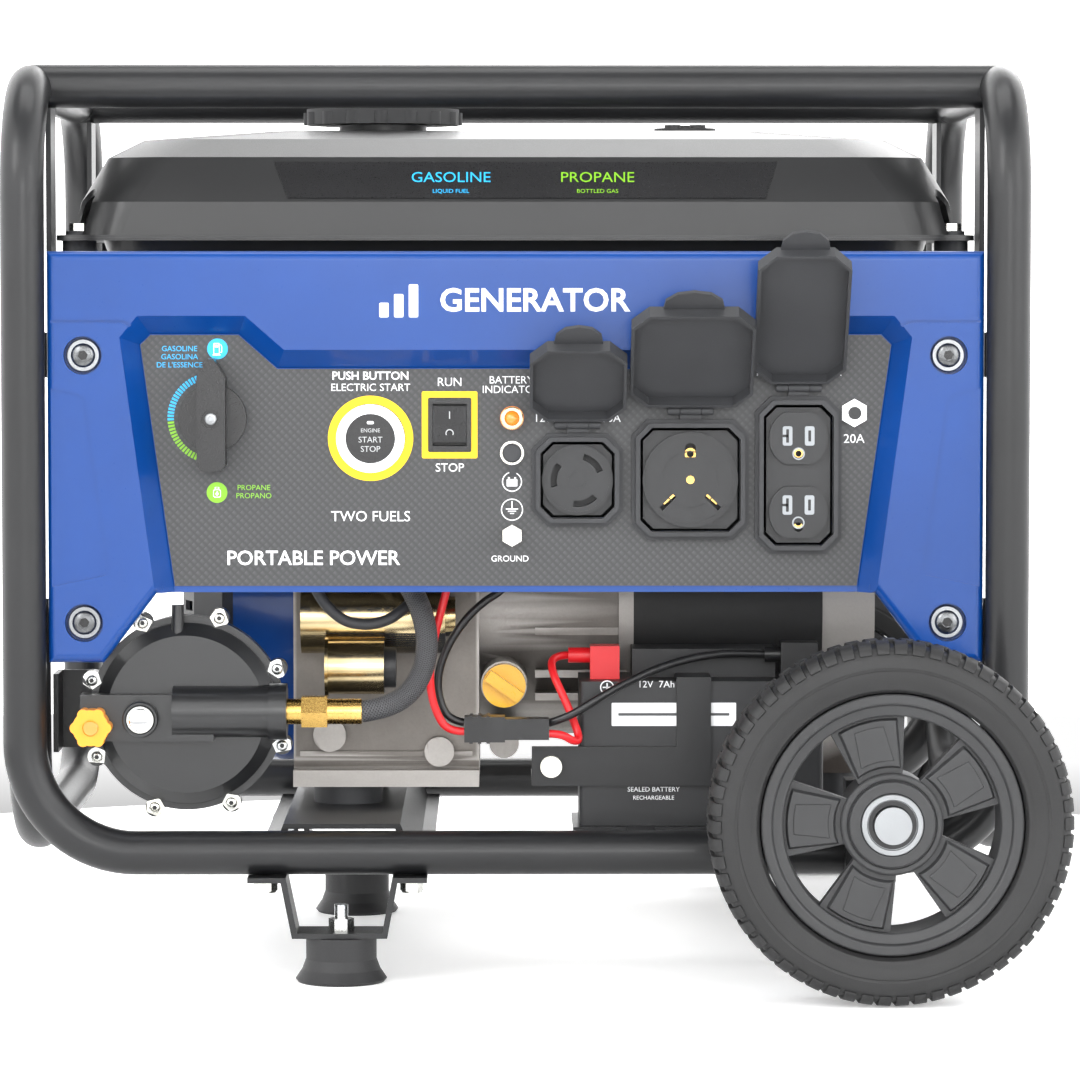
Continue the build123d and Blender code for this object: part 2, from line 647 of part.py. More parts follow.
def socket_body(name):
    x, z, w, h, _ = OUTLETS[name]
    back = PLATE_FRONT + 26
    body = outline_xz(octagon(x, z, w - 13, h - 13, 6), SOCKET_FRONT + 3, back)
    slots = None
    if name == "small":
        body += rod_y(x, z, SOCKET_FRONT, SOCKET_FRONT + 5, 20.5)
        for start in (20, 140, 260):
            arc = ring_y([(12.0, 0), (15.6, 0), (15.6, 9), (12.0, 9)], x, SOCKET_FRONT - 0.5, z)
            wedge = [(x, z)] + [(x + 30 * cos(radians(start + a)), z + 30 * sin(radians(start + a)))
                                for a in (0, 28, 56)]
            slot = arc & outline_xz(wedge, SOCKET_FRONT - 1, SOCKET_FRONT + 10)
            slots = slot if slots is None else slots + slot
    elif name == "medium":
        body += rod_y(x, z, SOCKET_FRONT, SOCKET_FRONT + 5, 27.6)
        slots = rod_y(x, z + 18, SOCKET_FRONT - 1, SOCKET_FRONT + 9, 3.2)
        slots += block(x - 3.2, x + 3.2, SOCKET_FRONT - 1, SOCKET_FRONT + 9, z + 13, z + 18)
        for side in (-1, 1):
            blade = Pos(x + side * 13, SOCKET_FRONT + 4, z - 13) * Rot(0, side * 45, 0) * Box(11, 10, 2.6)
            slots += blade
    else:
        for dz in (-21.5, 21.5):
            face = rod_y(x, z + dz, SOCKET_FRONT, SOCKET_FRONT + 5, 17)
            face &= block(x - 20, x + 20, SOCKET_FRONT - 1, SOCKET_FRONT + 9, z + dz - 15, z + dz + 15)
            body += face
            for dx in (-6.4, 6.4):
                slot = block(x + dx - 1.1, x + dx + 1.1, SOCKET_FRONT - 1, SOCKET_FRONT + 9,
                             z + dz - 1, z + dz + 7)
                slots = slot if slots is None else slots + slot
            slots += rod_y(x, z + dz - 8.5, SOCKET_FRONT - 1, SOCKET_FRONT + 9, 2.7)
    return body - slots


def outlet_sockets():
    return group(*[socket_body(name) for name in OUTLETS])


# ---- fuel tank ----
def tank_loft(shrink, sections):
    faces = []
    for z, half_x, half_y, corner in sections:
        plane = Plane(origin=(0, 0, z))
        faces.append(plane * RectangleRounded(2 * (half_x - shrink), 2 * (half_y - shrink), corner))
    return loft(faces, ruled=True)


def tank_flange(z0, half_x, half_y):
    """The seam flange, bored to half_x by half_y."""
    rim = Plane(origin=(0, 0, z0)) * RectangleRounded(2 * 270.6, 2 * 169, 34)
    bore = Plane(origin=(0, 0, z0)) * RectangleRounded(2 * half_x, 2 * half_y, 26)
    flange = extrude(rim - bore, TANK_FLANGE)
    for x in (-257, 257):
        for y in (-137, 137):
            flange -= rod_z(x, y, z0 - 1, z0 + 5, 6.0)
    return flange


def tank_upper_shell():
    solid = tank_loft(0, TANK_SECTIONS)
    lowered = [(z - 1.4 if i else z - 0.5, hx, hy, c) for i, (z, hx, hy, c) in enumerate(TANK_SECTIONS)]
    shell = solid - tank_loft(1.6, lowered)
    for x in (-257, 257):
        for y in (-137, 137):
            shell -= rod_z(x, y, TANK_SEAM_Z - 5, TANK_SEAM_Z + 30, 10.0)
    shell += tank_flange(TANK_SEAM_Z, 258.6, 156.6)
    for x in (-257, 257):
        for y in (-137, 137):
            shell -= rod_z(x, y, TANK_SEAM_Z - 5, TANK_SEAM_Z + 30, 6.0)
    neck = rod_z(CAP_X, 0, 480, 501, NECK_R)
    shell += neck
    shell -= rod_z(CAP_X, 0, 470, 510, NECK_R - 2)
    gauge = rod_z(GAUGE_X, 0, 490, 499.4, 19)
    for i in range(3):
        turn = radians(90 + 120 * i)
        gauge += rod_z(GAUGE_X + 9 * cos(turn), 9 * sin(turn), 495, 501.5, 5)
    shell -= rod_z(GAUGE_X, 0, 470, 510, 19.05)
    return group(shell.solids().sort_by(SortBy.VOLUME)[-1], gauge)


def tank_lower_shell():
    z1 = TANK_SEAM_Z - TANK_FLANGE - 0.05
    sections = ((z1, 244.0, 150.0, 30), (TANK_BOTTOM_Z + 12, 238.0, 144.0, 30),
                (TANK_BOTTOM_Z, 222.0, 130.0, 24))
    shell = tank_loft(0, sections) - tank_loft(1.6, [(z + 1.4, hx, hy, c) for z, hx, hy, c in sections])
    shell += tank_flange(z1, 242.5, 148.5)
    for x in (-257, 257):
        for y in (-137, 137):
            shell -= rod_z(x, y, 390, TANK_SEAM_Z + 5, 6.0)
    return shell.solids().sort_by(SortBy.VOLUME)[-1]


def fuel_cap():
    """Wide ribbed cap that turns on the filler neck."""
    skirt = rod_z(CAP_X, 0, 501.3, CAP_TOP, CAP_R - 2.0)
    for i in range(16):
        turn = 2 * pi * i / 16
        skirt += rod_z(CAP_X + (CAP_R - 5) * cos(turn), (CAP_R - 5) * sin(turn), 501.3, CAP_TOP - 2, 5)
    skirt += rod_z(CAP_X, 0, 492, 502, NECK_R - 2.3)
    return skirt


# ---- engine ----
def crankcase():
    """Hollow casting with a foot flange, ribs and a bored shaft line."""
    x0, x1 = CASE_X
    y0, y1 = CASE_Y
    case = block(x0, x1, y0, y1, ENGINE_BASE_Z, CASE_TOP)
    case = fillet(case.edges().filter_by(Axis.X), 16)
    case += block(x0, x1, y0 - 9, y1 + 9, ENGINE_BASE_Z, ENGINE_BASE_Z + 10)
    for z in (ENGINE_BASE_Z + 18, 232, 250, 268):
        case += block(x0 + 4, x1 - 4, y0 - 3.5, y0 + 2, z, z + 3)
    case += rod_y(x0 + 22, 132, y0 - 7, y0 + 2, 10) + rod_y(x1 - 24, 122, y0 - 7, y0 + 2, 9)
    case -= block(x0 + 7, x1 - 7, y0 + 8, y1 - 8, ENGINE_BASE_Z + 9, CASE_TOP - 8)
    case -= rod_x(x0 - 1, x1 + 1, SHAFT_Y, SHAFT_Z, SHAFT_R + 0.05)
    case -= cylinder_place() * rod_z(0, 0, 40, 130, CYLINDER_BORE)
    return case


def cylinder_place():
    return Pos((CASE_X[0] + CASE_X[1]) / 2, SHAFT_Y, SHAFT_Z) * Rot(CYLINDER_TILT - 90, 0, 0)


def cylinder_head():
    """Finned barrel and head, leaning back from the crankcase."""
    barrel = Pos(0, 0, 105) * Box(84, 84, 82)
    for i in range(8):
        barrel += Pos(0, 0, 82 + 8.4 * i) * Box(96, 98, 2.6)
    barrel += Pos(0, 0, 156) * Box(90, 92, 22)
    barrel -= rod_z(0, 0, 40, 146, CYLINDER_BORE + 0.1)
    placed = cylinder_place() * barrel
    placed -= block(-140, -10, -90, CASE_Y[1] + 0.1, 90, CASE_TOP + 30)
    return placed.solids().sort_by(SortBy.VOLUME)[-1]


def valve_cover():
    lid = Pos(0, 0, 179.6) * Box(78, 80, 25)
    lid = fillet(lid.edges().filter_by(Axis.Z), 12)
    lid = fillet(lid.faces().sort_by(Axis.Z)[-1].edges(), 6)
    return cylinder_place() * lid


def piston():
    crown = rod_z(0, 0, 100, 138, CYLINDER_BORE - 0.2) - rod_z(0, 0, 99, 132, CYLINDER_BORE - 6)
    crown -= rod_x(-28.5, 28.5, 0, 113, 6)
    return cylinder_place() * crown


def fan_shroud():
    x0, x1 = SHROUD_X
    drum = rod_x(x0, x1, SHAFT_Y, SHAFT_Z, SHROUD_R)
    drum += block(x0, x1, SHAFT_Y, SHAFT_Y + 92, SHAFT_Z + 40, SHAFT_Z + 98)
    hollow = rod_x(x0 + 2, x1 + 1, SHAFT_Y, SHAFT_Z, SHROUD_R - 2)
    hollow += block(x0 + 2, x1 + 1, SHAFT_Y, SHAFT_Y + 90, SHAFT_Z + 42, SHAFT_Z + 96)
    drum -= hollow
    drum -= rod_x(x0 - 1, x0 + 5, SHAFT_Y, SHAFT_Z, 62)
    return drum


def recoil_cover():
    """Domed starter cover with a ring of cooling slots."""
    x0 = SHROUD_X[0] - 0.1
    profile = [(0, 0), (74, 0), (74, -8), (62, -26), (40, -34), (0, -34)]
    face = make_face(Polyline(*[(o, r, 0) for r, o in profile], close=True))
    dome = revolve(face, Axis.X)
    inner = [(0, 1), (72, 1), (72, -7), (60, -24), (39, -32), (0, -32)]
    dome -= revolve(make_face(Polyline(*[(o, r, 0) for r, o in inner], close=True)), Axis.X)
    for i in range(12):
        dome -= Rot(30 * i, 0, 0) * Pos(-24, 52, 0) * Box(30, 14, 6)
    return Pos(x0, SHAFT_Y, SHAFT_Z) * dome


def recoil_handle():
    x = SHROUD_X[0] - 36
    grip = block(x - 20, x, SHAFT_Y - 12, SHAFT_Y + 12, SHAFT_Z + 12, SHAFT_Z + 92)
    grip = fillet(grip.edges().filter_by(Axis.Z), 7)
    return grip


def flywheel():
    x0 = SHROUD_X[0] + 12
    disc = rod_x(x0, x0 + 20, SHAFT_Y, SHAFT_Z, 86)
    for i in range(16):
        disc += Pos(x0 + 10, SHAFT_Y, SHAFT_Z) * Rot(22.5 * i, 0, 0) * Pos(-13, 68, 0) * Box(8, 30, 2.5)
    disc -= rod_x(x0 - 1, x0 + 21, SHAFT_Y, SHAFT_Z, SHAFT_R)
    return disc


def crankshaft():
    shaft = rod_x(SHROUD_X[0] + 5, COVER_END - 5, SHAFT_Y, SHAFT_Z, SHAFT_R)
    for x in (-104, -62):
        web = rod_x(x, x + 10, SHAFT_Y, SHAFT_Z, 38)
        shaft += web
    return shaft


def rotor():
    x0 = ADAPTOR_END + 8
    core = rod_x(x0, STATOR_END - 8, SHAFT_Y, SHAFT_Z, STATOR_BORE - 1.0)
    core -= rod_x(x0 - 1, STATOR_END, SHAFT_Y, SHAFT_Z, SHAFT_R)
    for i in range(4):
        core -= Pos(130, SHAFT_Y, SHAFT_Z) * Rot(90 * i + 45, 0, 0) * Pos(0, 56, 0) * Box(140, 22, 16)
    return core


def adaptor_housing():
    """Ribbed drum between the crankcase and the stator, with the oil filler boss."""
    x0 = CASE_X[1] + 0.05
    drum = rod_x(x0, ADAPTOR_END, SHAFT_Y, SHAFT_Z, STATOR_R - 4)
    drum += rod_x(ADAPTOR_END - 9, ADAPTOR_END, SHAFT_Y, SHAFT_Z, STATOR_R)
    for z in (150, 164, 190, 216, 232):
        drum += block(x0 + 34, ADAPTOR_END - 4, SHAFT_Y - 84, SHAFT_Y, z, z + 4.5)
    drum += rod_y(-6.9, 162.6, -90, -30, 14)
    drum += rod_y(-6.9, 124, -62, 10, 9)
    drum -= rod_x(x0 - 1, ADAPTOR_END + 1, SHAFT_Y, SHAFT_Z, STATOR_R - 11)
    drum += rod_x(x0, x0 + 8, SHAFT_Y, SHAFT_Z, STATOR_R - 10)
    drum -= rod_x(x0 - 1, ADAPTOR_END + 1, SHAFT_Y, SHAFT_Z, SHAFT_R + 0.4)
    drum -= rod_y(-6.9, 162.6, -91, -60, 8.2)
    return drum


def dipstick():
    """Oil filler plug with a grip bar across its face."""
    x, z = -6.9, 162.6
    plug = rod_y(x, z, -101, -90.2, 13) + rod_y(x, z, -92, -64, 8.1)
    bar = Pos(x, -104, z) * Rot(0, 35, 0) * Box(24, 9, 7)
    return plug + bar


def stator():
    shell = rod_x(ADAPTOR_END + 0.05, STATOR_END, SHAFT_Y, SHAFT_Z, STATOR_R)
    return shell - rod_x(ADAPTOR_END - 1, STATOR_END + 1, SHAFT_Y, SHAFT_Z, STATOR_BORE)


def alternator_end_cover():
    x0 = STATOR_END + 0.05
    cup = rod_x(x0, COVER_END, SHAFT_Y, SHAFT_Z, STATOR_R - 3)
    cup += block(x0 + 2, x0 + 24, SHAFT_Y - 42, SHAFT_Y + 42, ENGINE_BASE_Z, SHAFT_Z - 70)
    cup -= rod_x(x0 - 1, COVER_END - 5, SHAFT_Y, SHAFT_Z, STATOR_R - 9)
    for i in range(14):
        cup -= Pos(COVER_END, SHAFT_Y, SHAFT_Z) * Rot(360 / 14 * i, 0, 0) * Pos(0, 52, 0) * Box(20, 26, 6)
    cup -= rod_x(x0, COVER_END + 1, SHAFT_Y, SHAFT_Z, SHAFT_R + 0.05)
    return cup


def muffler():
    y, z, r = MUFFLER
    can = rod_x(-6, 168, y, z, r)
    can = fillet(can.edges(), 6)
    can -= rod_x(-4, 166, y, z, r - 2)
    can += rod_x(CASE_X[1] - 7.9, -4, y + 12, z - 14, 12) - rod_x(CASE_X[1] - 9, 0, y + 12, z - 14, 10)
    can += rod_x(166, 186, y + 15, z + 12, 10)
    can -= rod_x(150, 190, y + 15, z + 12, 8)
    for i in range(9):
        x = 10 + 18 * i
        can += rod_x(x, x + 3, y, z, r + 3) - rod_x(x - 1, x + 4, y, z, r - 1)
    return can


def intake():
    """Carburettor and air cleaner beside the cylinder head."""
    y = 157.0
    z = 272.0
    carb = rod_x(CASE_X[0] - 30, CASE_X[0] + 7.9, y, z, 15)
    carb += block(CASE_X[0] - 24, CASE_X[0] - 4, y - 20, y + 20, z - 40, z + 5)
    box = block(-238, CASE_X[0] - 30.1, 132, 196, 226, 336)
    box = fillet(box.edges().filter_by(Axis.X), 14)
    box -= block(-235, CASE_X[0] - 34, 136, 192, 230, 332)
    return group(carb, box)


def starter_motor():
    """Starter motor with its solenoid and the strap that joins them."""
    motor = rod_x(-128, -42, -107.4, 205, 22)
    motor += rod_x(-42, -36, -107.4, 205, 12)
    solenoid = rod_x(-111, -78, -133, 176.7, 15.9) + rod_x(-78, -71, -133, 176.7, 12)
    solenoid += rod_x(-113, -111, -133, 176.7, 18)
    return group(motor, solenoid)


def rubber_mounts():
    """Engine isolators and the tank's corner grommets."""
    parts = []
    for y in (-70, 85):
        parts.append(rod_z(FOOT_X, y, ENGINE_CHANNEL_TOP + 0.05, ENGINE_BASE_Z - 0.05, 21))
    for y in (SHAFT_Y - 28, SHAFT_Y + 28):
        parts.append(rod_z(ALTERNATOR_FOOT_X, y, ALTERNATOR_CHANNEL_TOP + 0.05, ENGINE_BASE_Z - 0.05, 12))
    for x in (-257, 257):
        for y in (-137, 137):
            z1 = TANK_SEAM_Z - TANK_FLANGE - 0.1
            parts.append(rod_z(x, y, 420.05, z1, 10) - rod_z(x, y, 400, 450, 3.05))
            parts.append(rod_z(x, y, TANK_SEAM_Z + TANK_FLANGE + 0.05, TANK_SEAM_Z + 4.0, 8)
                         - rod_z(x, y, 400, 450, 3.05))
    return group(*parts)


# ---- gas regulator ----
def lobes(y0, y1, r_plate, lobe_r):
    shape = rod_y(REG_X, REG_Z, y0, y1, r_plate)
    for i in range(8):
        turn = radians(116 - 45 * i)
        x = REG_X + REG_LOBE_R * cos(turn)
        z = REG_Z + REG_LOBE_R * sin(turn)
        shape += rod_y(x, z, y0, y1, lobe_r)
    return shape


def regulator_body():
    body = rod_y(REG_X, REG_Z, REG_SEAM, REG_BACK, REG_R)
    return body + lobes(REG_SEAM, REG_SEAM + 6, REG_R + 5, 5.6)


def regulator_cover():
    seam = REG_SEAM - 0.05
    cover = lobes(seam - 6, seam, REG_R + 5, 5.6)
    dome = rod_y(REG_X, REG_Z, seam - 16, seam - 5, REG_R + 1)
    dome = chamfer(dome.faces().sort_by(Axis.Y)[0].edges(), 7)
    cover += dome
    cover += block(-253.5, -176, -190, seam - 5, 138.4, 165.4)
    cover += rod_x(-200, -144, -182, 155, 15) + rod_x(-144, -133.5, -182, 155, 16.5)
    cover += rod_z(-197.5, -176, 195, 217, 3.6)
    cover -= rod_y(PRIMER_POS[0], PRIMER_POS[1], -192, -183, 8.0)
    screws = []
    for i in range(8):
        turn = radians(116 - 45 * i)
        x = REG_X + REG_LOBE_R * cos(turn)
        z = REG_Z + REG_LOBE_R * sin(turn)
        screws.append(rod_y(x, z, seam - 8.5, seam - 6.05, 3.4))
    return group(cover, *screws)


def inlet_cap():
    x, z = CAP_POS
    cap = rod_y(x, z, -204, -190.2, 10.4)
    for i in range(6):
        turn = 2 * pi * i / 6
        cap += rod_y(x + 8.6 * cos(turn), z + 8.6 * sin(turn), -204, -191, 3.4)
    return cap


def primer_button():
    x, z = PRIMER_POS
    return rod_y(x, z, -197, -190.2, 7.8)


def hose_fitting():
    y = -182.0
    z = 155.0
    small = rod_x(-133.4, -125, y, z, 7.5)
    nut_face = Plane(origin=(-125, y, z), x_dir=(0, 1, 0), z_dir=(1, 0, 0)) * RegularPolygon(10.2, 6)
    nut = extrude(nut_face, 15)
    return small + nut + rod_x(-110, -90, y, z, 7.4)


def fuel_hoses():
    braided = [(-89.9, -182, 155), (-76, -182, 157), (-62, -179, 165), (-53.5, -174, 179),
               (-51.5, -168, 197),
               (-56, -160, 215), (-65, -146, 230), (-74, -128, 239), (-79, -108, 240), (-79, -88.7, 240)]
    vacuum = [(-122, -152, 250.9), (-122, -152, 236), (-116, -153, 220), (-103, -154, 206),
              (-88, -153, 203),
              (-75, -152, 206), (-66, -148.5, 212.5), (-60, -140, 217.5), (-56.5, -128, 223.5),
              (-55.5, -114, 231.5),
              (-55.5, -101, 234.2), (-55.5, -88.7, 234.2)]
    return group(cord("braided_hose", braided, HOSE_R), cord("vacuum_hose", vacuum, 3.3))


# ---- battery and leads ----
def battery_case():
    x0, x1 = BATTERY_X
    y0, y1 = BATTERY_Y
    z0, z1 = BATTERY_Z
    case = block(x0, x1, y0, y1, z0, z1)
    case = fillet(case.edges().filter_by(Axis.Z), 3)
    case += block(x0 + 32, x1 - 27, y0 + 30, y1, z1, z1 + 17)
    for x in (x0 + 15, x1 - 14):
        case += block(x - 3, x + 3, -112, -109.5, z1, z1 + 9)
    return case


def battery_bracket():
    """Tray under the battery, and the bent strap round its front and top."""
    z = BATTERY_Z[0] - 0.1
    tray = block(BATTERY_X[0] - 4, BATTERY_X[1] + 2, -140, -62, z - 2.2, z)
    for x in (66, 150):
        tray += block(x, x + 16, -POST_Y + TUBE_R + FIT_GAP, -139, z - 2.2, z)
    front = BATTERY_Y[0] - 0.2
    strap = block(9.5, 116, front - 2.5, front, 106, 129.5)
    strap += block(95.5, 116, front - 2.5, front, 106, BATTERY_Z[1] + 2.7)
    strap += block(95.5, 116, front - 2.5, BATTERY_Y[0] + 29.5, BATTERY_Z[1] + 0.2, BATTERY_Z[1] + 2.7)
    strap += block(9.5, 33, front, -62, 106, 108.5)
    bolt = rod_y(21, 117.8, front - 7.5, front - 2.6, 6.4)
    return group(tray, strap, bolt)


def lead_fittings():
    """Insulating boots on the battery posts and the two-part lead connector."""
    red = block(44.5, 62, -119, -101, 168.2, 188) + rod_x(31.5, 45, -110, 182, 4.6)
    red -= block(49.9, 56.2, -112.2, -109.3, 160, 177.2)
    black = block(158.5, 180.5, -119, -101, 168.2, 190) + rod_x(149, 159, -110, 182.5, 4.6)
    black -= block(165.9, 172.2, -112.2, -109.3, 160, 177.2)
    cx, cy, cz = CONNECTOR
    halves = block(cx - 25, cx - 1, cy - 8, cy + 8, cz - 7.5, cz + 7.5)
    halves += block(cx - 1, cx + 25, cy - 7, cy + 7, cz - 6.2, cz + 6.2)
    for i in range(3):
        halves += block(cx - 22 + 5 * i, cx - 20 + 5 * i, cy - 8.8, cy + 8.8, cz - 8.2, cz + 8.2)
    return group(red, black, halves)


def red_leads():
    engine_side = [(-38, -152, 250.9), (-38, -152, 236), (-42, -152, 219), (-47.5, -152.5, 199),
                   (-50.5, -153, 181),
                   (-50.5, -152, 165), (-47, -150, 151), (-40, -149, 140), (-30.5, -149, 140)]
    battery_side = [(19.7, -149, 138.5), (27, -149, 138.5), (34.5, -147, 133.5), (38, -142, 134.5),
                    (34.5, -137, 145), (28, -133.5, 160), (21.5, -127, 173.5), (21.5, -116, 182),
                    (31.4, -110, 182)]
    return group(cord("red_engine_lead", engine_side, LEAD_R),
                 cord("red_battery_lead", battery_side, LEAD_R, folds=(1, 2)))


def black_leads():
    engine_side = [(2, -141, 250.9), (2, -141, 236), (-7, -141, 223.5), (-21, -142, 215),
                   (-33, -142.5, 202),
                   (-42, -143, 187), (-46.5, -143, 171), (-45, -143, 157), (-39.5, -143, 146.4),
                   (-30.5, -143, 144.6)]
    battery_side = [(19.7, -143, 144.3), (31, -146.5, 148), (47, -145.5, 158), (66, -141, 168.5),
                    (88, -132, 177.5),
                    (111, -121, 182.5), (132, -112, 183.5), (148.9, -110, 182.5)]
    return group(cord("black_engine_lead", engine_side, LEAD_R),
                 cord("black_battery_lead", battery_side, LEAD_R))


NODES = {
    "frame_front_tube": frame_front_tube,
    "frame_rear_tube": frame_rear_tube,
    "top_cross_tubes": top_cross_tubes,
    "lower_side_tubes": lower_side_tubes,
    "support_channels": support_channels,
    "frame_brackets": frame_brackets,
    "wheel_axles": wheel_axles,
    "foot_brackets": foot_brackets,
    "rubber_feet": rubber_feet,
    "bolts": bolts,
    "front_tyre": lambda: tyre(-1),
    "front_rim": lambda: rim(-1),
    "rear_tyre": lambda: tyre(1),
    "rear_rim": lambda: rim(1),
    "front_panel": front_panel,
    "control_plate": control_plate,
    "control_box": control_box,
    "panel_fittings": panel_fittings,
    "start_button": start_button,
    "rocker_switch": rocker_switch,
    "breaker_button": breaker_button,
    "selector_knob": selector_knob,
    "ground_terminal": ground_terminal,
    "outlet_bezels": outlet_bezels,
    "outlet_sockets": outlet_sockets,
    "cover_small": lambda: cover("small"),
    "cover_medium": lambda: cover("medium"),
    "cover_tall": lambda: cover("tall"),
    "tank_upper_shell": tank_upper_shell,
    "tank_lower_shell": tank_lower_shell,
    "fuel_cap": fuel_cap,
    "crankcase": crankcase,
    "cylinder_head": cylinder_head,
    "valve_cover": valve_cover,
    "piston": piston,
    "fan_shroud": fan_shroud,
    "recoil_cover": recoil_cover,
    "recoil_handle": recoil_handle,
    "flywheel": flywheel,
    "crankshaft": crankshaft,
    "rotor": rotor,
    "adaptor_housing": adaptor_housing,
    "dipstick": dipstick,
    "stator": stator,
    "alternator_end_cover": alternator_end_cover,
    "muffler": muffler,
    "intake": intake,
    "starter_motor": starter_motor,
    "rubber_mounts": rubber_mounts,
    "regulator_body": regulator_body,
    "regulator_cover": regulator_cover,
    "inlet_cap": inlet_cap,
    "primer_button": primer_button,
    "hose_fitting": hose_fitting,
    "fuel_hoses": fuel_hoses,
    "battery_case": battery_case,
    "battery_bracket": battery_bracket,
    "lead_fittings": lead_fittings,
    "red_leads": red_leads,
    "black_leads": black_leads,
}


def main():
    os.makedirs("parts", exist_ok=True)
    for name, make in NODES.items():
        shape = Pos(ORIGIN_SHIFT, 0, 0) * make()
        export_step(shape, f"parts/{name}.step")


if __name__ == "__main__":
    main()
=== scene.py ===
import bmesh
import bpy
import json
from math import atan, cos, pi, radians, sin, sqrt
from mathutils import Matrix, Vector


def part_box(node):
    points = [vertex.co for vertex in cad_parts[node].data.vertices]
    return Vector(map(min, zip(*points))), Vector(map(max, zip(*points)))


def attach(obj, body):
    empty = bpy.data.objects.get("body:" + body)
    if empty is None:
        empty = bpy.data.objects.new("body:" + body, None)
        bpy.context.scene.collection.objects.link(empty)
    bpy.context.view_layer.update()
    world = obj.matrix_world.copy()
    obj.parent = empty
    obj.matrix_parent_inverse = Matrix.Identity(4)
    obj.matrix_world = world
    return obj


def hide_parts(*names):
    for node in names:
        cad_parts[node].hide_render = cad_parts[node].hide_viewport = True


# Portable generator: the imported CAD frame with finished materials, printed marks, moulded and
# pressed details, hoses and leads. Everything is in metres, in the frame's own axes.

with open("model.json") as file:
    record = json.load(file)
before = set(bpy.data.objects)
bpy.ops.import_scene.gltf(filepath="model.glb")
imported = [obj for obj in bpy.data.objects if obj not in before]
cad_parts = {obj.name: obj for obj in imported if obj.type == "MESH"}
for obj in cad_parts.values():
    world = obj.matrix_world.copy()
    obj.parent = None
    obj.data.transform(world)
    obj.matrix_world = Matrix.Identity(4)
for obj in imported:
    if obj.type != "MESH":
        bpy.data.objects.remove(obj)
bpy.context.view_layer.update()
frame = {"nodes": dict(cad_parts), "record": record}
NODES = frame["nodes"]
MM = 0.001


def centre(node):
    low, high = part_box(node)
    return (low + high) / 2


# ---- materials
def material(name):
    mat = bpy.data.materials.new(name)
    mat.use_nodes = True
    nodes = mat.node_tree.nodes
    return mat, nodes, mat.node_tree.links, nodes["Principled BSDF"]


def add(nodes, kind, **values):
    node = nodes.new(kind)
    for key, value in values.items():
        if hasattr(node, key) and key not in node.inputs:
            setattr(node, key, value)
        else:
            node.inputs[key].default_value = value
    return node


def object_coords(nodes, links, scale=(1, 1, 1), turn=(0, 0, 0)):
    coord = nodes.new("ShaderNodeTexCoord")
    mapping = nodes.new("ShaderNodeMapping")
    mapping.inputs["Scale"].default_value = scale
    mapping.inputs["Rotation"].default_value = turn
    links.new(coord.outputs["Object"], mapping.inputs["Vector"])
    return mapping.outputs["Vector"]


def ramp(nodes, links, fac, stops):
    node = nodes.new("ShaderNodeValToRGB")
    while len(node.color_ramp.elements) < len(stops):
        node.color_ramp.elements.new(0.5)
    for element, (place, colour) in zip(node.color_ramp.elements, stops):
        element.position = place
        element.color = colour if len(colour) == 4 else (*colour, 1)
    links.new(fac, node.inputs["Fac"])
    return node.outputs["Color"]


def grey(value):
    return (value, value, value)


def noise(nodes, links, vector, scale, detail=4.0, rough=0.55):
    node = add(nodes, "ShaderNodeTexNoise", Scale=scale, Detail=detail, Roughness=rough)
    links.new(vector, node.inputs["Vector"])
    return node.outputs["Fac"]


def bump(nodes, links, height, strength, distance, normal=None):
    node = add(nodes, "ShaderNodeBump", Strength=strength, Distance=distance)
    links.new(height, node.inputs["Height"])
    if normal is not None:
        links.new(normal, node.inputs["Normal"])
    return node.outputs["Normal"]


def surface(name, colour, rough, metallic=0.0, spread=0.06, grain=900.0, depth=0.02 * MM, tone=0.12,
            coat=0.0, spec=0.5, wear=None, second=None, coarse=None):
    """A finish with colour drift, uneven gloss and a fine relief; wear lightens the exposed edges."""
    mat, nodes, links, shader = material(name)
    vector = object_coords(nodes, links)
    drift = noise(nodes, links, vector, 14.0, 3.0)
    fine = noise(nodes, links, vector, grain, 3.0, 0.6)
    dark = [c * (1 - tone) for c in colour]
    light = [min(1.0, c * (1 + tone)) for c in (second or colour)]
    base = ramp(nodes, links, drift, ((0.3, dark), (0.7, light)))
    if wear:
        geometry = nodes.new("ShaderNodeNewGeometry")
        edge = ramp(nodes, links, geometry.outputs["Pointiness"], ((0.515, grey(0)), (0.56, grey(1))))
        mix = add(nodes, "ShaderNodeMix", data_type="RGBA")
        mix.inputs[7].default_value = (*wear, 1)
        links.new(edge, mix.inputs[0])
        links.new(base, mix.inputs[6])
        base = mix.outputs[2]
    links.new(base, shader.inputs["Base Color"])
    gloss = ramp(nodes, links, fine, ((0.25, grey(max(0.02, rough - spread))),
                                      (0.75, grey(min(1, rough + spread)))))
    links.new(gloss, shader.inputs["Roughness"])
    normal = bump(nodes, links, fine, 0.6, depth)
    if coarse:
        scale, lift = coarse
        normal = bump(nodes, links, noise(nodes, links, vector, scale, 2.0), 0.5, lift, normal)
    links.new(normal, shader.inputs["Normal"])
    shader.inputs["Metallic"].default_value = metallic
    shader.inputs["Specular IOR Level"].default_value = spec
    shader.inputs["Coat Weight"].default_value = coat
    shader.inputs["Coat Roughness"].default_value = 0.12
    return mat


def print_ink(name, colour, glow=0.0):
    """Screen-printed ink with a slightly uneven film."""
    mat = surface(name, colour, 0.45, tone=0.04, grain=2500.0, depth=0.004 * MM)
    shader = mat.node_tree.nodes["Principled BSDF"]
    if glow:
        shader.inputs["Emission Color"].default_value = (*colour, 1)
        shader.inputs["Emission Strength"].default_value = glow
    return mat


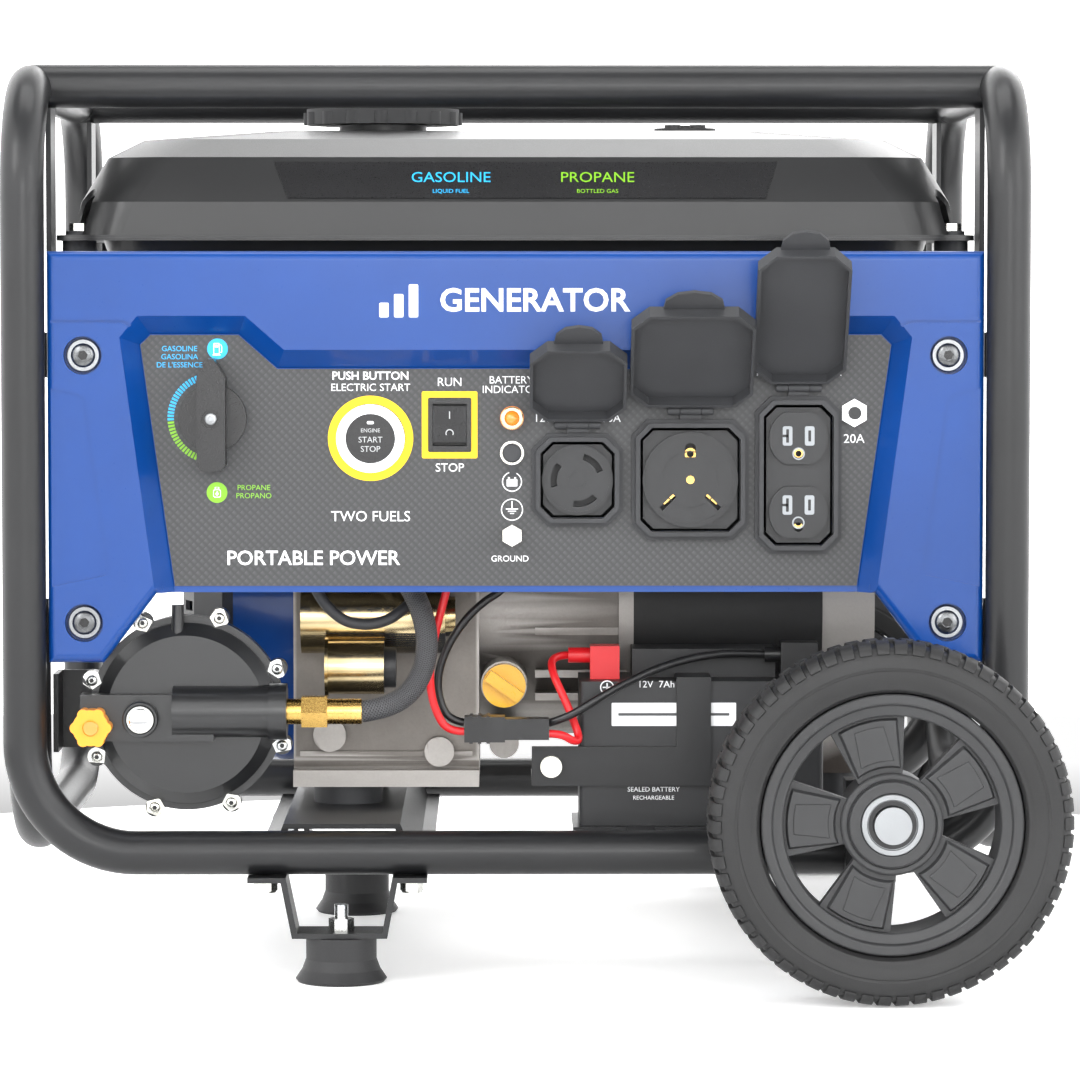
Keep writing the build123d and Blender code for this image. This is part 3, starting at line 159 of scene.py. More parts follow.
def overlay_weave():
    """Dark control overlay with a fine diagonal twill pattern."""
    mat, nodes, links, shader = material("plate_overlay")
    one = object_coords(nodes, links, turn=(0, radians(45), 0))
    bands = add(nodes, "ShaderNodeTexWave", Scale=95.0, Distortion=0.0, bands_direction="X",
                wave_profile="SIN")
    links.new(one, bands.inputs["Vector"])
    steps = add(nodes, "ShaderNodeTexWave", Scale=95.0, Distortion=0.0, bands_direction="Z",
                wave_profile="SAW")
    links.new(one, steps.inputs["Vector"])
    mix = add(nodes, "ShaderNodeMath", operation="MULTIPLY")
    links.new(bands.outputs["Fac"], mix.inputs[0])
    links.new(steps.outputs["Fac"], mix.inputs[1])
    colour = ramp(nodes, links, mix.outputs[0],
                  ((0.0, (0.034, 0.035, 0.037)), (0.85, (0.062, 0.063, 0.065))))
    links.new(colour, shader.inputs["Base Color"])
    fine = noise(nodes, links, object_coords(nodes, links), 1600.0)
    links.new(ramp(nodes, links, fine, ((0.3, grey(0.42)), (0.7, grey(0.56)))), shader.inputs["Roughness"])
    links.new(bump(nodes, links, mix.outputs[0], 0.25, 0.02 * MM), shader.inputs["Normal"])
    return mat


def braid():
    """Woven sleeve of the gas hose: two crossing sets of strands."""
    mat, nodes, links, shader = material("braided_sleeve")
    uv = nodes.new("ShaderNodeTexCoord")
    waves = []
    for turn in (38, -38):
        mapping = nodes.new("ShaderNodeMapping")
        mapping.inputs["Rotation"].default_value = (0, 0, radians(turn))
        mapping.inputs["Scale"].default_value = (18.0, 3.2, 1.0)
        links.new(uv.outputs["UV"], mapping.inputs["Vector"])
        wave = add(nodes, "ShaderNodeTexWave", Scale=2.4, Distortion=0.0, bands_direction="X")
        links.new(mapping.outputs["Vector"], wave.inputs["Vector"])
        waves.append(wave.outputs["Fac"])
    top = add(nodes, "ShaderNodeMath", operation="MAXIMUM")
    links.new(waves[0], top.inputs[0])
    links.new(waves[1], top.inputs[1])
    colour = ramp(nodes, links, top.outputs[0],
                  ((0.2, (0.004, 0.004, 0.005)), (0.95, (0.075, 0.075, 0.08))))
    links.new(colour, shader.inputs["Base Color"])
    links.new(bump(nodes, links, top.outputs[0], 0.9, 0.5 * MM), shader.inputs["Normal"])
    shader.inputs["Roughness"].default_value = 0.5
    return mat


def cast_metal(name, colour, rough=0.5):
    return surface(name, colour, rough, metallic=0.75, spread=0.1, grain=700.0, depth=0.12 * MM, tone=0.22,
                   wear=(0.42, 0.4, 0.38), coarse=(120.0, 0.25 * MM))


MATS = {
    "frame_paint": surface("frame_powder_coat", (0.0105, 0.0108, 0.0118), 0.4, spread=0.07, grain=1400.0,
                           depth=0.03 * MM, coat=0.1, tone=0.2, spec=0.4),
    "panel_blue": surface("blue_enamel", (0.0008, 0.044, 0.225), 0.3, spread=0.03, grain=700.0,
                          depth=0.01 * MM,
                          coat=0.3, tone=0.05, spec=0.3, coarse=(60.0, 0.05 * MM)),
    "plate_grey": overlay_weave(),
    "tank_black": surface("tank_texture_black", (0.0125, 0.0128, 0.0135), 0.42, grain=2600.0,
                          depth=0.06 * MM,
                          tone=0.12, coat=0.15),
    "black_plastic": surface("moulded_black", (0.0155, 0.016, 0.0175), 0.46, grain=2200.0,
                             depth=0.04 * MM, tone=0.15),
    "black_rubber": surface("moulded_rubber", (0.028, 0.029, 0.032), 0.6, grain=1500.0, depth=0.05 * MM,
                            tone=0.18),
    "foot_rubber": surface("foot_rubber", (0.012, 0.012, 0.013), 0.55, grain=900.0, depth=0.08 * MM,
                           tone=0.25,
                           coarse=(90.0, 0.1 * MM)),
    "tyre_rubber": surface("tyre_rubber", (0.0105, 0.0105, 0.011), 0.58, grain=1200.0, depth=0.08 * MM,
                           tone=0.3,
                           coarse=(70.0, 0.12 * MM)),
    "rim_plastic": surface("rim_plastic", (0.026, 0.0265, 0.028), 0.5, grain=2400.0, depth=0.05 * MM,
                           tone=0.15),
    "cast_alloy": cast_metal("sand_cast_alloy", (0.2, 0.185, 0.17)),
    "dark_cast": cast_metal("dark_cast_alloy", (0.085, 0.072, 0.064)),
    "bright_steel": surface("zinc_plate", (0.62, 0.65, 0.68), 0.28, metallic=1.0, grain=1300.0,
                            depth=0.02 * MM,
                            tone=0.12, second=(0.7, 0.68, 0.6)),
    "steel_grey": surface("plain_steel", (0.3, 0.31, 0.32), 0.38, metallic=1.0, grain=900.0, tone=0.2),
    "brass_metal": surface("turned_brass", (0.72, 0.46, 0.13), 0.26, metallic=1.0, grain=800.0, tone=0.15,
                           second=(0.8, 0.5, 0.16)),
    "gold_zinc": surface("yellow_zinc_plate", (0.5, 0.38, 0.17), 0.22, metallic=1.0, grain=400.0, tone=0.3,
                         second=(0.62, 0.5, 0.3)),
    "red_insulation": surface("red_insulation", (0.72, 0.012, 0.018), 0.38, grain=1200.0, tone=0.08),
    "black_insulation": surface("black_insulation", (0.011, 0.011, 0.012), 0.36, grain=1200.0, tone=0.2),
    "yellow_plastic": surface("amber_plastic", (1.0, 0.52, 0.02), 0.3, grain=1000.0, tone=0.06, coat=0.3),
    "orange_plastic": surface("orange_plastic", (1.0, 0.34, 0.012), 0.32, grain=1000.0, tone=0.06,
                              coat=0.3),
    "chrome_trim": surface("polished_trim", (0.8, 0.81, 0.82), 0.14, metallic=1.0, grain=500.0,
                           tone=0.05, spread=0.03),
    "copper_core": surface("varnished_windings", (0.004, 0.004, 0.0045), 0.5, grain=800.0, tone=0.25),
    "muffler_steel": surface("heat_stained_steel", (0.22, 0.2, 0.18), 0.45, metallic=1.0, grain=500.0,
                             tone=0.3,
                             second=(0.3, 0.24, 0.18)),
    "carbon_black": surface("satin_black_switch", (0.008, 0.008, 0.009), 0.3, grain=1800.0, tone=0.15),
    "lamp_amber": surface("amber_lens", (0.9, 0.24, 0.01), 0.15, grain=900.0, tone=0.15, coat=1.0),
    "white_nylon": surface("white_nylon", (0.72, 0.72, 0.7), 0.4, grain=900.0, tone=0.05),
    "dark_steel": surface("blackened_steel", (0.16, 0.165, 0.17), 0.3, metallic=1.0, grain=900.0, tone=0.2),
    "satin_cast_black": surface("painted_cast_black", (0.011, 0.0115, 0.0125), 0.36, grain=900.0,
                                depth=0.05 * MM,
                                tone=0.2, coat=0.3, coarse=(160.0, 0.12 * MM)),
    "label_black": surface("label_film", (0.012, 0.012, 0.013), 0.3, grain=1500.0, tone=0.15),
    "steel_shutter": surface("grey_shutter", (0.3, 0.32, 0.34), 0.35, grain=1400.0, tone=0.1),
}
INKS = {
    "white": print_ink("ink_white", (0.82, 0.83, 0.84)),
    "yellow": print_ink("ink_yellow", (1.0, 0.62, 0.0)),
    "cyan": print_ink("ink_cyan", (0.02, 0.42, 0.8)),
    "green": print_ink("ink_green", (0.19, 0.46, 0.015)),
    "silver": print_ink("ink_silver", (0.45, 0.46, 0.47)),
    "grey": print_ink("ink_grey", (0.06, 0.062, 0.065)),
}
SLOT_OF = {entry["node"]: entry["material_slot"] for entry in frame["record"]["subparts"]}
SPECIAL = {"rubber_feet": "foot_rubber", "front_rim": "rim_plastic", "rear_rim": "rim_plastic",
           "start_button": "carbon_black", "rocker_switch": "carbon_black",
           # The recoil cover is blue; black plastic here is painted shade for the shadow it sits in.
           "alternator_end_cover": "dark_cast", "recoil_cover": "black_plastic",
           "regulator_cover": "satin_cast_black", "regulator_body": "satin_cast_black",
           "selector_knob": "carbon_black"}


def finish_cad_nodes():
    for name, obj in NODES.items():
        mat = MATS[SPECIAL.get(name, SLOT_OF[name])]
        obj.data.materials.clear()
        obj.data.materials.append(mat)
        obj.data.shade_smooth()
        obj.data.set_sharp_from_angle(angle=radians(32))


finish_cad_nodes()


# ---- mesh helpers
def piece(name, mesh, mat, body="root", replaces=()):
    obj = bpy.data.objects.new(name, mesh)
    bpy.context.scene.collection.objects.link(obj)
    if mat is not None:
        mesh.materials.append(mat)
    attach(obj, body)
    if replaces:
        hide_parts(*replaces)
    return obj


def smooth(obj, angle=32):
    obj.data.shade_smooth()
    obj.data.set_sharp_from_angle(angle=radians(angle))
    return obj


def soften(obj, width, segments=2, angle=28):
    """Rounded edges by a bevel on everything sharper than angle."""
    mod = obj.modifiers.new("edges", "BEVEL")
    mod.width = width
    mod.segments = segments
    mod.limit_method = "ANGLE"
    mod.angle_limit = radians(angle)
    mod.harden_normals = True
    return obj


def mesh_from(name, bm):
    bmesh.ops.recalc_face_normals(bm, faces=bm.faces)
    mesh = bpy.data.meshes.new(name)
    bm.to_mesh(mesh)
    bm.free()
    return mesh


def add_prism(bm, outline, y0, y1):
    """A closed (x, z) outline between two depths."""
    near = [bm.verts.new((x, y0, z)) for x, z in outline]
    far = [bm.verts.new((x, y1, z)) for x, z in outline]
    count = len(outline)
    bm.faces.new(near)
    bm.faces.new(list(reversed(far)))
    for i in range(count):
        j = (i + 1) % count
        bm.faces.new((near[j], near[i], far[i], far[j]))


def add_ring(bm, outer, inner, y0, y1):
    """A plate with one hole, both outlines having the same number of points."""
    loops = [[bm.verts.new((x, y, z)) for x, z in pts] for pts, y in
             ((outer, y0), (inner, y0), (inner, y1), (outer, y1))]
    count = len(outer)
    for a in range(4):
        b = (a + 1) % 4
        for i in range(count):
            j = (i + 1) % count
            bm.faces.new((loops[a][i], loops[a][j], loops[b][j], loops[b][i]))


def add_lathe(bm, profile, place, segments=64):
    """Points of (radius, offset) turned about a local Z axis, then placed by a matrix."""
    rings = []
    for r, o in profile:
        if r < 1e-6:
            rings.append([bm.verts.new(place @ Vector((0, 0, o)))])
        else:
            rings.append([bm.verts.new(place @ Vector((r * cos(2 * pi * i / segments),
                                                       r * sin(2 * pi * i / segments), o)))
                          for i in range(segments)])
    for a, b in zip(rings, rings[1:]):
        for i in range(segments):
            j = (i + 1) % segments
            if len(a) == 1 and len(b) == 1:
                continue
            if len(a) == 1:
                bm.faces.new((a[0], b[i], b[j]))
            elif len(b) == 1:
                bm.faces.new((a[i], a[j], b[0]))
            else:
                bm.faces.new((a[i], a[j], b[j], b[i]))


def facing(x, y, z):
    """Local +Z points towards the person at the panel, local Y up."""
    return Matrix.Translation((x, y, z)) @ Matrix.Rotation(radians(90), 4, "X")


def circle(cx, cz, r, count=48, start=0.0):
    return [(cx + r * cos(start + 2 * pi * i / count),
             cz + r * sin(start + 2 * pi * i / count)) for i in range(count)]


def rounded_box(cx, cz, w, h, r, steps=6):
    points = []
    for qx, qz, base in ((1, 1, 0), (-1, 1, 90), (-1, -1, 180), (1, -1, 270)):
        for i in range(steps + 1):
            turn = radians(base + 90 * i / steps)
            points.append((cx + qx * (w / 2 - r) + r * cos(turn), cz + qz * (h / 2 - r) + r * sin(turn)))
    return points


def scaled(points, cx, cz, k):
    return [(cx + (x - cx) * k, cz + (z - cz) * k) for x, z in points]


def flat_mark(name, outlines, y, ink, thick=0.12 * MM):
    """Printed shapes lying on a surface that faces the user."""
    bm = bmesh.new()
    for outline in outlines:
        add_prism(bm, outline, y - thick, y)
    return piece(name, mesh_from(name, bm), INKS[ink])


def ring_mark(name, rings, y, ink, thick=0.12 * MM, count=72):
    bm = bmesh.new()
    for cx, cz, outer, inner in rings:
        add_ring(bm, circle(cx, cz, outer, count), circle(cx, cz, inner, count), y - thick, y)
    return piece(name, mesh_from(name, bm), INKS[ink])


def lettering(name, words, x, y, z, size, ink, spacing=1.0, shear=0.0, bold=0.0, tilt=0.0):
    """Words printed on a surface, centred on x, z."""
    font = bpy.data.curves.new(name, "FONT")
    font.body = words
    font.size = size
    font.align_x = "CENTER"
    font.align_y = "CENTER"
    font.extrude = 0.05 * MM
    font.space_character = spacing
    font.shear = shear
    font.offset = bold
    font.resolution_u = 3
    font.materials.append(INKS[ink])
    text = bpy.data.objects.new(name, font)
    bpy.context.scene.collection.objects.link(text)
    text.matrix_world = Matrix.Translation((x, y - 0.06 * MM, z)) @ Matrix.Rotation(radians(90) - tilt,
                                                                                    4, "X")
    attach(text, "root")
    return text


# ---- hoses and leads
SHIFT = centre("fuel_cap").x + 0.0815


def route(name, points, radius, mat, node):
    """A smooth hose or lead through the given control points, held at both ends."""
    curve = bpy.data.curves.new(name, "CURVE")
    curve.dimensions = "3D"
    curve.bevel_depth = radius
    curve.bevel_resolution = 6
    curve.resolution_u = 12
    curve.use_fill_caps = True
    spline = curve.splines.new("NURBS")
    spline.points.add(len(points) - 1)
    for point, (x, y, z) in zip(spline.points, points):
        point.co = (x + SHIFT, y, z, 1.0)
    spline.order_u = 3
    spline.use_endpoint_u = True
    obj = bpy.data.objects.new(name, curve)
    bpy.context.scene.collection.objects.link(obj)
    curve.materials.append(mat)
    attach(obj, "root")
    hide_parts(node)
    return obj


BRAIDED = [(-0.0899, -0.182, 0.155), (-0.076, -0.182, 0.157), (-0.062, -0.179, 0.165),
           (-0.0535, -0.174, 0.179),
           (-0.0515, -0.168, 0.197), (-0.056, -0.16, 0.215), (-0.065, -0.146, 0.23),
           (-0.074, -0.128, 0.239),
           (-0.079, -0.108, 0.24), (-0.079, -0.0887, 0.24)]
VACUUM = [(-0.122, -0.152, 0.2509), (-0.122, -0.152, 0.236), (-0.116, -0.153, 0.22),
          (-0.103, -0.154, 0.206),
          (-0.088, -0.153, 0.203), (-0.075, -0.152, 0.206), (-0.066, -0.1485, 0.2125),
          (-0.06, -0.14, 0.2175),
          (-0.0565, -0.128, 0.2235), (-0.0555, -0.114, 0.2315), (-0.0555, -0.101, 0.2342),
          (-0.0555, -0.0887, 0.2342)]
RED_ENGINE = [(-0.038, -0.152, 0.2509), (-0.038, -0.152, 0.236), (-0.042, -0.152, 0.219),
              (-0.0475, -0.1525, 0.199),
              (-0.0505, -0.153, 0.181), (-0.0505, -0.152, 0.165), (-0.047, -0.15, 0.151),
              (-0.04, -0.149, 0.14),
              (-0.0305, -0.149, 0.14)]
RED_BATTERY = [(0.0197, -0.149, 0.1385), (0.027, -0.149, 0.1385), (0.0345, -0.147, 0.1335),
               (0.038, -0.142, 0.1345),
               (0.0345, -0.137, 0.145), (0.028, -0.1335, 0.16), (0.0215, -0.127, 0.1735),
               (0.0215, -0.116, 0.182),
               (0.0314, -0.11, 0.182)]
BLACK_ENGINE = [(0.002, -0.141, 0.2509), (0.002, -0.141, 0.236), (-0.007, -0.141, 0.2235),
                (-0.021, -0.142, 0.215),
                (-0.033, -0.1425, 0.202), (-0.042, -0.143, 0.187), (-0.0465, -0.143, 0.171),
                (-0.045, -0.143, 0.157), (-0.0395, -0.143, 0.1464), (-0.0305, -0.143, 0.1446)]
BLACK_BATTERY = [(0.0197, -0.143, 0.1443), (0.031, -0.1465, 0.148), (0.047, -0.1455, 0.158),
                 (0.066, -0.141, 0.1685),
                 (0.088, -0.132, 0.1775), (0.111, -0.121, 0.1825), (0.132, -0.112, 0.1835),
                 (0.1489, -0.11, 0.1825)]


HOSE_R = 0.0065
VACUUM_R = 0.0033
LEAD_R = 0.0024


def leads_and_hoses():
    red = MATS["red_insulation"]
    black = MATS["black_insulation"]
    made = route("braided_hose", BRAIDED, HOSE_R, braid(), "fuel_hoses")
    made = route("vacuum_hose", VACUUM, VACUUM_R, MATS["black_rubber"], "fuel_hoses")
    for name, points, length, mat in (("red_lead_engine", RED_ENGINE, 0.1235, red),
                                      ("red_lead_battery", RED_BATTERY, 0.0903, red)):
        route(name, points, LEAD_R, mat, "red_leads")
    for name, points, length, mat in (("black_lead_engine", BLACK_ENGINE, 0.132, black),
                                      ("black_lead_battery", BLACK_BATTERY, 0.1443, black)):
        route(name, points, LEAD_R, mat, "black_leads")


leads_and_hoses()

# ---- details
def solids(node):
    """Boxes of the separate solids in a node, from left to right."""
    bm = bmesh.new()
    bm.from_mesh(NODES[node].data)
    bmesh.ops.remove_doubles(bm, verts=bm.verts, dist=1e-6)
    seen = set()
    found = []
    for vert in bm.verts:
        if vert in seen:
            continue
        seen.add(vert)
        stack = [vert]
        places = []
        while stack:
            near = stack.pop()
            places.append(near.co.copy())
            for edge in near.link_edges:
                other = edge.other_vert(near)
                if other not in seen:
                    seen.add(other)
                    stack.append(other)
        low = Vector(min(p[i] for p in places) for i in range(3))
        high = Vector(max(p[i] for p in places) for i in range(3))
        found.append((low, high))
    bm.free()
    return sorted(found, key=lambda pair: pair[0].x)


def paint(node, mat, test):
    """A second finish on the faces of a CAD node whose centre passes the test."""
    mesh = NODES[node].data
    mesh.materials.append(mat)
    index = len(mesh.materials) - 1
    for face in mesh.polygons:
        if test(face.center):
            face.material_index = index


def inside(pair, grow=0.0002):
    low, high = pair
    return lambda p: all(low[i] - grow <= p[i] <= high[i] + grow for i in range(3))


PLATE_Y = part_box("control_plate")[0].y
PANEL_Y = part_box("front_panel")[0].y
SOCKETS = solids("outlet_sockets")
FITTINGS = solids("panel_fittings")
START_AT, ROCKER_AT, LAMP_AT, JACK_AT, BREAKER_AT = [(low + high) / 2 for low, high in FITTINGS]


def fitting_finishes():
    fittings = {"chrome": FITTINGS[0], "frame": FITTINGS[1], "lamp": FITTINGS[2], "jack": FITTINGS[3],
                "breaker": FITTINGS[4]}
    by_height = sorted((FITTINGS[2], FITTINGS[3]), key=lambda pair: -pair[0].z)
    paint("panel_fittings", MATS["chrome_trim"], inside(fittings["chrome"]))
    paint("panel_fittings", MATS["carbon_black"], inside(fittings["frame"]))
    paint("panel_fittings", MATS["lamp_amber"], inside(by_height[0]))
    paint("panel_fittings", MATS["bright_steel"], inside(by_height[1]))
    paint("panel_fittings", MATS["chrome_trim"], inside(fittings["breaker"]))
    for pair in solids("regulator_cover")[1:]:
        paint("regulator_cover", MATS["bright_steel"], inside(pair, 0.0001))
    for low, high in solids("starter_motor"):
        if high.z < 0.2:
            paint("starter_motor", MATS["gold_zinc"], inside((low, high)))
            paint("starter_motor", MATS["black_plastic"],
                  lambda p, low=low, high=high: p.z < 0.1965 and p.x > high.x - 0.0085)
    for low, high in solids("lead_fittings"):
        mat = MATS["red_insulation"] if 0.0 < low.x < 0.1 else MATS["black_insulation"]
        paint("lead_fittings", mat, inside((low, high)))
    for low, high in solids("battery_bracket"):
        if high.x - low.x < 0.02:
            paint("battery_bracket", MATS["bright_steel"], inside((low, high)))


fitting_finishes()


# ---- wheels ----
TYRE_PROFILE = [(74.2, 17), (74.4, 20.5), (76.2, 23.0), (79.0, 23.6), (80.0, 24.2), (86.5, 24.3),
                (87.0, 23.9),
                (88.0, 23.9), (88.5, 24.2), (93.5, 23.7), (97.0, 22.3), (99.2, 19.6), (100.3, 15),
                (100.5, 0)]
BLOCK_PROFILE = [(99.0, 1.2), (102.6, 1.2), (102.6, 12.5), (101.8, 18.4), (100.2, 21.4), (97.6, 23.3),
                 (96.0, 23.6),
                 (95.6, 22.0), (98.5, 18.0)]
TREAD_BLOCKS = 62


def wheel_place(node, outward):
    middle = centre(node)
    turn = Matrix.Rotation(radians(90), 4, "X")
    if outward > 0:
        turn = Matrix.Rotation(radians(180), 4, "Z") @ turn
    return Matrix.Translation(middle) @ turn


def tyre(side, body, outward):
    place = wheel_place(side + "_tyre", outward) @ Matrix.Scale(MM, 4)
    bm = bmesh.new()
    profile = TYRE_PROFILE + [(r, -o) for r, o in reversed(TYRE_PROFILE[:-1])]
    profile.append(profile[0])
    add_lathe(bm, profile, place, 160)
    step = 2 * pi / TREAD_BLOCKS
    for flip, shift in ((1, 0.0), (-1, 0.5)):
        for i in range(TREAD_BLOCKS):
            edges = []
            for share in (-0.36, 0.36):
                ring = []
                for r, o in BLOCK_PROFILE:
                    lean = 0.10 * step * (o / 24)
                    turn = (i + shift + share) * step + lean
                    ring.append(bm.verts.new(place @ Vector((r * cos(turn), r * sin(turn), flip * o))))
                edges.append(ring)
            count = len(BLOCK_PROFILE)
            for a in range(count):
                b = (a + 1) % count
                bm.faces.new((edges[0][a], edges[0][b], edges[1][b], edges[1][a]))
            bm.faces.new(edges[0])
            bm.faces.new(list(reversed(edges[1])))
    obj = piece(side + "_tyre_tread", mesh_from(side + "_tyre_tread", bm), MATS["tyre_rubber"], body,
                (side + "_tyre",))
    soften(smooth(obj, 34), 0.0004, 1, 40)
    return obj


def polar(r, degrees):
    turn = radians(degrees)
    return (r * cos(turn), r * sin(turn))


def spoke_outline(mid, half_in, half_out, r_in, r_out):
    """A fan with an arc at each end, from the hub to the barrel."""
    points = [polar(r_in, mid - half_in + 2 * half_in * i / 6) for i in range(7)]
    points += [polar(r_out, mid + half_out - 2 * half_out * i / 10) for i in range(11)]
    return points


def add_plate(bm, place, outline, o0, o1, inset=0.0):
    """An outline in the wheel's plane, raised from o0 to o1, drawn in by inset at the top."""
    cx = sum(x for x, _ in outline) / len(outline)
    cy = sum(y for _, y in outline) / len(outline)
    size = max(sqrt((x - cx) ** 2 + (y - cy) ** 2) for x, y in outline)
    k = 1 - inset / size
    low = [bm.verts.new(place @ Vector((x, y, o0))) for x, y in outline]
    high = [bm.verts.new(place @ Vector((cx + (x - cx) * k, cy + (y - cy) * k, o1))) for x, y in outline]
    count = len(outline)
    bm.faces.new(high)
    bm.faces.new(list(reversed(low)))
    for i in range(count):
        j = (i + 1) % count
        bm.faces.new((low[i], low[j], high[j], high[i]))


def rim(side, body, outward):
    place = wheel_place(side + "_rim", outward) @ Matrix.Scale(MM, 4)
    bm = bmesh.new()
    barrel = [(73.6, 17.0), (73.6, 20.2), (72.6, 20.9), (68.5, 20.9), (67.6, 20.3), (66.8, 18.6),
              (61.8, 17.8),
              (61.0, 17.0), (60.2, 0.0), (61.0, -17.0), (62.0, -18.0), (72.6, -20.9), (73.6, -20.2)]
    barrel.append(barrel[0])
    add_lathe(bm, barrel, place, 128)
    hub = [(10.6, -20.6), (26.5, -20.6), (28.5, -18.6), (28.8, 0.0), (28.8, 15.5), (27.6, 16.6),
           (25.4, 16.6),
           (24.6, 15.8), (24.2, 18.4), (23.4, 19.0), (17.8, 19.0), (17.4, 18.2), (10.6, 18.2)]
    hub.append(hub[0])
    add_lathe(bm, hub, place, 96)
    for mid in SPOKE_ANGLES:
        mid = mid if outward < 0 else 180 - mid
        add_plate(bm, place, spoke_outline(mid, 27, 20.5, 26.5, 61.3), 5.0, 13.2)
        add_plate(bm, place, spoke_outline(mid, 24, 17.0, 31.5, 59.6), 13.0, 16.2, 2.2)
        add_plate(bm, place, spoke_outline(mid, 16, 9.0, 35.5, 55.5), 16.1, 16.9, 0.8)
    obj = piece(side + "_rim_face", mesh_from(side + "_rim_face", bm), MATS["rim_plastic"], body,
                (side + "_rim",))
    soften(smooth(obj, 30), 0.0006, 2, 30)
    bm = bmesh.new()
    ring = [(17.3, 17.2), (17.3, 19.5), (16.9, 19.9), (14.3, 19.9), (13.9, 19.5), (13.9, 18.4),
            (13.6, 18.4)]
    ring += [(13.6, 17.2), (17.3, 17.2)]
    add_lathe(bm, ring, place, 72)
    race = piece(side + "_hub_race", mesh_from(side + "_hub_race", bm), MATS["steel_grey"], body)
    smooth(race)


SPOKE_ANGLES = (104, 177, 249, 320.5, 31)
for side, body, outward in (("front", "front_wheel", -1), ("rear", "rear_wheel", 1)):
    tyre(side, body, outward)
    rim(side, body, outward)


# ---- blue panel: bolts and the printed name ----
def at_panel(x, z):
    """Millimetres from the centre of the panel's top edge."""
    low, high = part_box("front_panel")
    return ((low.x + high.x) / 2 + x * MM, high.z + z * MM)


def panel_bolts():
    washers = bmesh.new()
    heads = bmesh.new()
    sockets = bmesh.new()
    for low, high in solids("bolts"):
        if high.y > -0.18 or low.z < 0.19:
            continue
        place = facing((low.x + high.x) / 2, low.y, (low.z + high.z) / 2) @ Matrix.Scale(MM, 4)
        add_lathe(washers, [(0, -2.6), (9.6, -2.6), (9.6, -1.6), (9.0, -1.2), (6.4, -1.2), (0, -1.2)],
                  place, 48)
        dome = [(0, -1.2), (6.9, -1.2), (7.0, -0.4)] + [(7.0 * cos(radians(a)),
                                                         -0.4 + 3.0 * sin(radians(a)))
                                                    for a in range(12, 61, 12)]
        dome += [(3.0, 2.3), (2.9, 0.6), (0, 0.6)]
        add_lathe(heads, dome, place, 48)
        hexagon = [polar(2.9, 60 * i + 10) for i in range(6)]
        add_plate(sockets, place, hexagon, 0.61, 0.9)
    smooth(piece("panel_bolt_washers", mesh_from("panel_bolt_washers", washers), MATS["steel_grey"]))
    smooth(piece("panel_bolt_heads", mesh_from("panel_bolt_heads", heads), MATS["dark_steel"]), 40)
    piece("panel_bolt_sockets", mesh_from("panel_bolt_sockets", sockets), MATS["carbon_black"])


panel_bolts()


def panel_print():
    x, z = at_panel(-67.5, -28.5)
    y = PANEL_Y
    bars = [rounded_box(x + 0.0085 * (i - 1), z - 0.0096 + height / 2, 0.0054, height, 0.0008, 3)
            for i, height in enumerate((0.0084, 0.0134, 0.0190))]
    flat_mark("panel_mark_bars", bars, y, "white")
    word_x, word_z = at_panel(10.5, -28.8)
    lettering("panel_word", "GENERATOR", word_x, y, word_z, 0.0185, "white", 1.02, bold=0.0004)


panel_print()


# ---- printed control overlay ----
def mark_text(name, words, x, z, size, ink, **more):
    return lettering(name, words, x, PLATE_Y, z, size, ink, **more)


